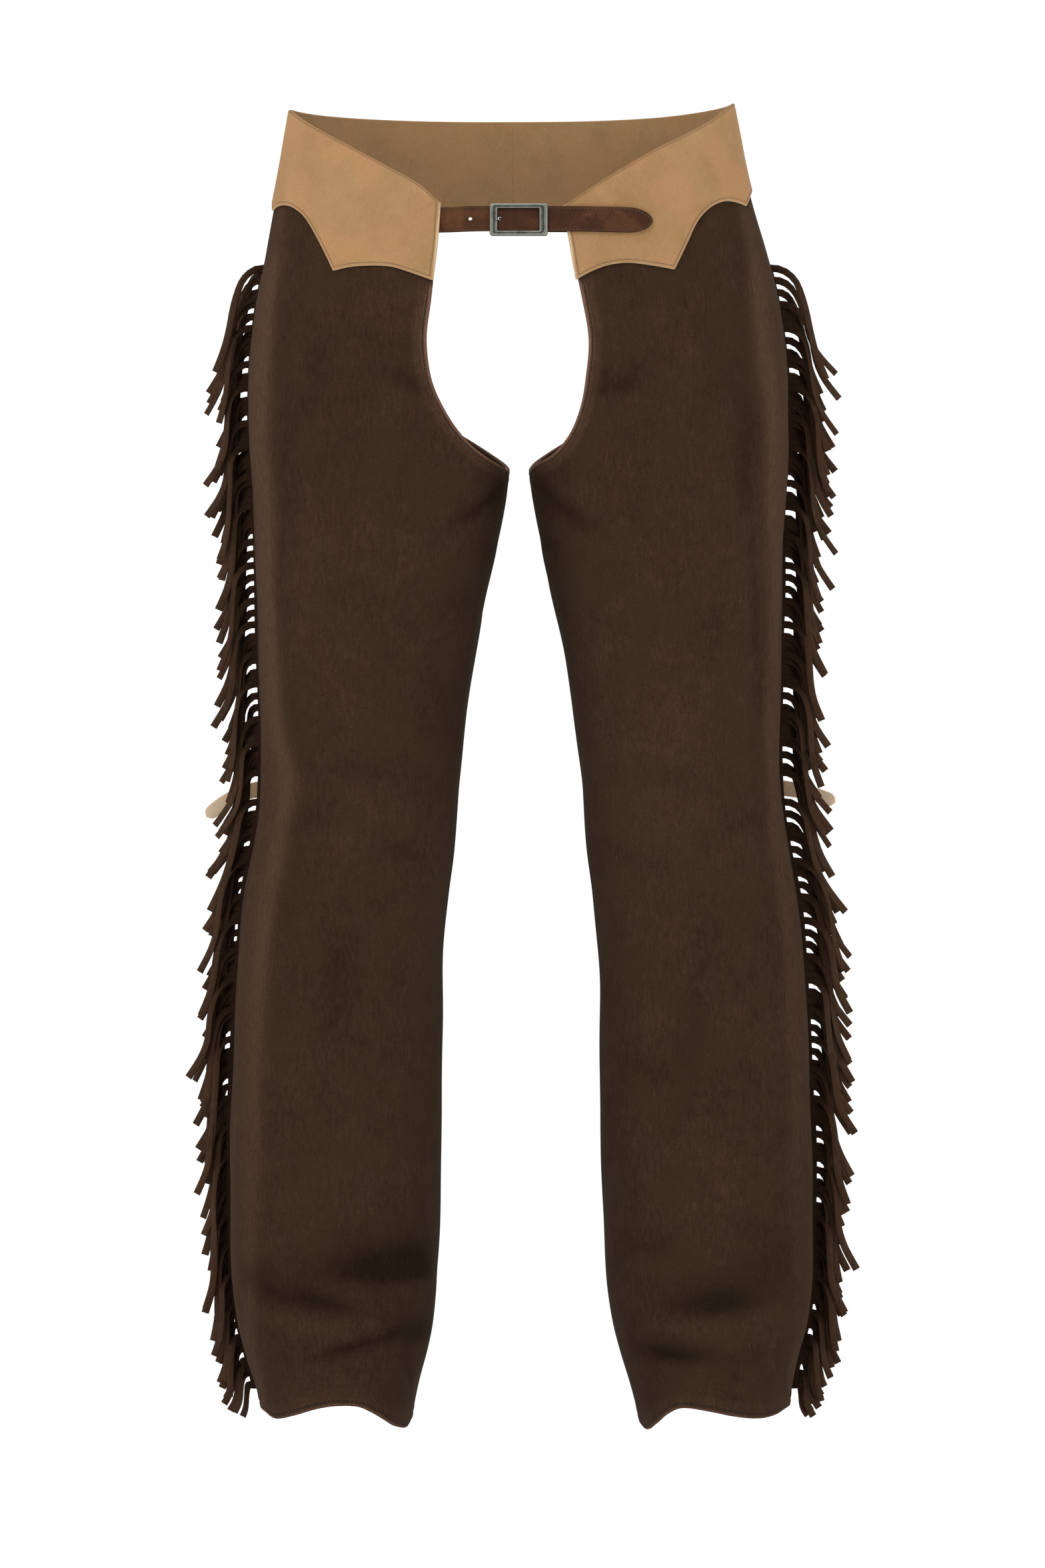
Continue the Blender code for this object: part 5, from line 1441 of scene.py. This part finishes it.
strap = {
    "height": -61.2,
    "width": 18.8,
    "thickness": 2.2,
    "root": -92.0,  # under the right yoke
    "tip": 102.0,
    "point": 18.0,  # length of the rounded end
    "stride": 1.5,
    "corner": 0.7,
    "holes": (-31.4, -9.9, 54.6),  # across
    "hole": 2.6,
    "course": (
        # across, offset of the strap's middle
        (-92, 0.7), (-49, 0.7), (-43, 1.8), (-35, 4.2), (-28, 5.5), (-22, 5.8), (102, 5.8),
    ),
    "stitchAt": 1.7,  # from each edge
    "groove": 0.16,
    "stitches": {"pitch": 2.7, "length": 1.9, "thickness": 0.40, "wander": 3.0, "seed": 5},
    "cut": (0.0188, 0.204),
}
buckle = {
    "centre": 4.2,
    "height": -62.5,
    "length": 43.0,
    "depth": 24.0,
    "thickness": 3.0,
    "lift": 7.2,  # from the belly to its back
    "steadies": 14.0,  # beyond this distance the leather leans with the belly again
    "bars": (5.6, 6.2, 3.4, 4.0),  # left, right, top, bottom
    "corner": 2.2,
    "windowCorner": 0.8,
    "profile": (
        # share of the way from the outside to the window, lift, worn bright, sunk
        (0.05, 0.0, 0.2, 0.0), (0.0, 0.35, 0.3, 0.0), (0.0, 1.7, 0.5, 0.0), (0.03, 2.3, 0.9, 0.0),
        (0.09, 2.75, 1.0, 0.0), (0.17, 2.95, 0.9, 0.0), (0.30, 3.0, 0.55, 0.0),
        (0.44, 2.95, 0.5, 0.0), (0.50, 2.72, 0.1, 0.9), (0.55, 2.60, 0.1, 0.8),
        (0.64, 2.62, 0.35, 0.0), (0.82, 2.55, 0.5, 0.0), (0.93, 2.3, 0.9, 0.0),
        (1.0, 1.8, 0.6, 0.0), (1.0, 0.4, 0.2, 0.3), (0.96, 0.0, 0.2, 0.2),
    ),
    "centreBar": (3.2, 2.2, 0.85),  # across, offset, radius
    "loop": (1.5, 2.2),  # inside and outside of what is folded round it
    # where the folded piece stops being double, is single, and ends
    "chape": {"thickness": 1.6, "double": 12.0, "single": 16.0, "end": 76.0,
              "slot": 4.0, "slotReach": 4.5, "cut": (0.0188, 0.095)},
    "tongue": {"radius": 0.85, "tip": 8.6},
}


def bellyFront(across, height):
    half, front = readTable(bodySections, height, 1), readTable(bodySections, height, 2)
    share = np.abs((across - readTable(lean, height, 1)) / half) ** bodySquareness
    return -front * (1 - share) ** (1 / bodySquareness)


def bellyPoint(across, height, offset):
    # point in front of the belly, held upright behind the buckle
    spot = (np.asarray(part, float) for part in (across, height, offset))
    across, height, offset = np.broadcast_arrays(*spot)
    apart = np.abs(across - buckle["centre"]) - buckle["length"] / 2
    level = strap["height"] + (height - strap["height"]) * smoothStep(apart / buckle["steadies"])
    slope = (bellyFront(across + 1, level) - bellyFront(across - 1, level)) / 2
    size = np.sqrt(slope * slope + 1)
    front = bellyFront(across, level)
    return np.stack((across + slope / size * offset, front - offset / size, height), axis=-1)


def strapMiddle(across):
    # the course's own points, with soft turns between them
    steps = np.linspace(-3.5, 3.5, 9)
    return np.mean([straightTable(strap["course"], across + step, 1) for step in steps], axis=0)


def strapHalf(across):
    fromTip = np.clip((strap["tip"] - across) / strap["point"], 0, 1)
    return np.maximum(strap["width"] / 2 * np.sqrt(np.maximum(1 - (1 - fromTip) ** 2, 0)), 0.5)


def buildStrap():
    straight = np.arange(strap["root"], strap["tip"] - strap["point"], strap["stride"])
    point = strap["tip"] - strap["point"] * (1 - np.sin(np.linspace(0, math.pi / 2, 16)))
    stations = np.concatenate((straight, point))[:, None]
    byEdge = np.linspace(0.7, 1, 9)  # columns lie close together along both edges
    shares = np.concatenate((-byEdge[::-1], np.linspace(-0.6, 0.6, 9), byEdge))
    aside = shares * strapHalf(stations)
    fromEdge = strapHalf(stations) - np.abs(aside)
    toEnd = strap["tip"] - stations
    edge = np.minimum(fromEdge, toEnd)
    groove = gully(edge, strap["stitchAt"], 0.45) * (toEnd > 4)
    lift = strap["thickness"] / 2 - rounded(np.minimum(fromEdge, toEnd + 0.2), strap["corner"])
    middle, height = strapMiddle(stations), strap["height"] + aside
    outer = bellyPoint(stations, height, middle + lift - strap["groove"] * groove)
    inner = bellyPoint(stations, height, middle - lift)
    rim = np.clip(1 - edge / 0.7, 0, 1)
    zero = np.zeros_like(rim)
    # painted shade in the stitch grooves
    marks = {"rim": (rim, rim), "sunk": (zero, groove * 0.8),
             "turned": (zero, 0.5 * gully(edge, 0.9, 0.5))}
    piece = placeShell("leatherStrap", inner, outer, "strapLeather", marks)
    for across in strap["holes"]:
        spot = bellyPoint(across, strap["height"], float(strapMiddle(across))) * mm
        bpy.ops.mesh.primitive_cylinder_add(
            vertices=24, radius=strap["hole"] / 2 * mm, depth=9 * mm,
            location=spot, rotation=(math.radians(90), 0, 0))
        carve(piece, bpy.context.object)
    along = np.linspace(-50, strap["tip"] - 3.2, 300)
    paths = []
    for way in (1, -1):
        height = strap["height"] + way * np.maximum(strapHalf(along + 1.0) - strap["stitchAt"], 0.4)
        offset = strapMiddle(along) + strap["thickness"] / 2 - strap["groove"] * 0.3
        line = bellyPoint(along, height, offset)
        paths.append({"points": line, "out": unit(bellyPoint(along, height, offset + 1) - line)})
    return piece, paths


frontStrap, strapPaths = buildStrap()
strapStitches = placeStitches("strapStitches", strapPaths, strap["stitches"], "paleThread")
handIn(frontStrap, "front_strap", "strap_leather", strapStitches, flat=strap["cut"],
       held="stretched", rests_on=["yoke_right", "yoke_left"])


def sweepRound(name, path, radius, sideways, material, sizes):
    # a round bar along a line of points, with its size at each of them
    steps = 12
    path = np.array(path, float)
    ahead = unit(np.gradient(path, axis=0))
    one = np.array(sideways, float)
    one = unit(one - ahead * (ahead @ one)[:, None])
    two = np.cross(ahead, one)
    reach = radius * np.array(sizes)[:, None, None]
    turns = np.linspace(0, 2 * math.pi, steps, endpoint=False)[None, :, None]
    rings = path[:, None] + one[:, None] * reach * np.cos(turns)
    rings = rings + two[:, None] * reach * np.sin(turns)
    return placeTube(name, rings, material, {"rim": np.full((len(path), steps), 0.25)})


def buildBuckleFrame():
    left, right = buckle["centre"] - buckle["length"] / 2, buckle["centre"] + buckle["length"] / 2
    low, high = buckle["height"] - buckle["depth"] / 2, buckle["height"] + buckle["depth"] / 2
    leftBar, rightBar, topBar, lowBar = buckle["bars"]
    outside = roundedOutline(left, right, low, high, buckle["corner"])
    window = roundedOutline(left + leftBar, right - rightBar, low + lowBar, high - topBar,
                            buckle["windowCorner"])
    base = float(bellyFront(buckle["centre"], strap["height"]))
    inwards, rise, bright, sunk = np.array(buckle["profile"])[:, :, None].transpose(1, 0, 2)
    outline = outside + (window - outside) * inwards[..., None]
    shape = outline.shape[:2]
    depth = np.broadcast_to(base - buckle["lift"] - rise, shape)
    loops = np.stack((outline[..., 0], depth, outline[..., 1]), -1)
    marks = {"rim": np.broadcast_to(bright, shape), "sunk": np.broadcast_to(sunk, shape)}
    piece = placeTube("buckleFrame", loops, "antiqueNickel", marks, closed=True)
    # the hidden centre bar, with a short post at each end
    across, lift, radius = buckle["centreBar"]
    into = buckle["lift"] + buckle["thickness"] / 2
    post = ((0, into), (0, 4.6), (0.3, 3.1), (1.3, lift), (3.0, lift))
    foot, head = low + 1.7, high - 0.6
    run = [(foot + up, offset) for up, offset in post]
    run += [(place, lift) for place in np.linspace(foot + 5, head - 5, 6)]
    run += [(head - up, offset) for up, offset in post[::-1]]
    path = [(across, base - offset, height) for height, offset in run]
    thin = [0.6] * 4 + [1.0] * (len(path) - 8) + [0.6] * 4
    bar = sweepRound("centreBar", path, radius, (1, 0, 0), "antiqueNickel", thin)
    carve(piece, bar, "UNION")
    return piece


def buildChape():
    # the short strap folded round the centre bar, slotted for the tongue
    looks, half = buckle["chape"], strap["width"] / 2
    bar, (inner, outer) = buckle["centreBar"][:2], buckle["loop"]
    base = float(bellyFront(buckle["centre"], strap["height"]))
    double, back = looks["double"], 2 * outer
    stations = np.linspace(looks["single"], looks["end"], 30)
    outline = roundPoints(bar, outer, range(90, 271, 10)) + [(double / 2, 0.0), (double, 0.0)]
    outline += [(across, 0.0) for across in stations]
    outline += [(across, looks["thickness"]) for across in stations[::-1]]
    outline += [(double + 1.6, back - 1.2), (double, back - 0.2), (double / 2, back)]
    outline = np.array(outline)
    ahead = unit(np.roll(outline, -1, axis=0) - np.roll(outline, 1, axis=0))
    inwards = np.stack((ahead[:, 1], -ahead[:, 0]), -1)
    inwards = inwards * (1 if inwards[5] @ (outline[5] - np.array(bar)) < 0 else -1)
    rounding = ((half, 0.45), (half - 0.15, 0.15), (half - 0.5, 0.0), (half / 2, 0.0))
    levels = [(-height, inset) for height, inset in rounding] + [(0, 0.0), *rounding[::-1]]
    rings = []
    for height, inset in levels:
        across, offset = (outline + inwards * inset).T
        level = np.full_like(across, strap["height"] + height)
        upright = np.stack((across, base - offset, level), -1)
        bent = bellyPoint(across, level, offset)
        rings.append(upright + (bent - upright) * smoothStep((across - bar[0]) / double)[:, None])
    rim = np.array([float(abs(height) > half - 0.6) for height, inset in levels])
    marks = {"rim": np.tile(rim[:, None], (1, len(outline)))}
    piece = placeTube("buckleChape", np.array(rings), "strapLeather", marks)
    middle = np.array((bar[0], base - bar[1], strap["height"])) * mm
    bpy.ops.mesh.primitive_cylinder_add(
        vertices=20, radius=inner * mm, depth=(2 * half + 4) * mm, location=middle)
    carve(piece, bpy.context.object)
    bpy.ops.mesh.primitive_cube_add(size=1, location=middle + np.array((0, -1.4, 0)) * mm)
    bpy.context.object.scale = (2 * looks["slotReach"] * mm, 9.0 * mm, looks["slot"] * mm)
    bpy.context.view_layer.update()
    carve(piece, bpy.context.object)
    return piece


def buildTongue():
    # the prong, hooked round the centre bar, its tip up through a hole of the strap
    base = float(bellyFront(buckle["centre"], strap["height"]))
    across, lift = buckle["centreBar"][:2]
    radius, tip = buckle["tongue"]["radius"], buckle["tongue"]["tip"]
    pin = strap["holes"][1]
    course = roundPoints((across, lift), sum(buckle["loop"]) / 2 + 0.35, range(135, -151, -15))
    course += [(across - 4.5, lift - 0.55), (across - 7, lift - 0.5), (pin + 2.2, lift - 0.45),
               (pin + 0.6, lift - 0.1), (pin + 0.08, lift + 0.9), (pin, lift + 2.2),
               (pin, tip - 2.0), (pin, tip - 0.9), (pin, tip - 0.35), (pin, tip - 0.05)]
    path = [(place, base - offset, strap["height"]) for place, offset in course]
    sizes = [0.6, 0.9] + [1.0] * (len(path) - 5) + [0.92, 0.66, 0.25]
    return sweepRound("buckleTongue", path, radius, (0, 0, 1), "antiqueNickel", sizes)


handIn(buildBuckleFrame(), "buckle_frame", "antique_nickel")
handIn(buildChape(), "buckle_chape", "strap_leather", flat=buckle["chape"]["cut"], held="folded",
       rests_on=["buckle_frame", "yoke_left"])
handIn(buildTongue(), "buckle_tongue", "antique_nickel")
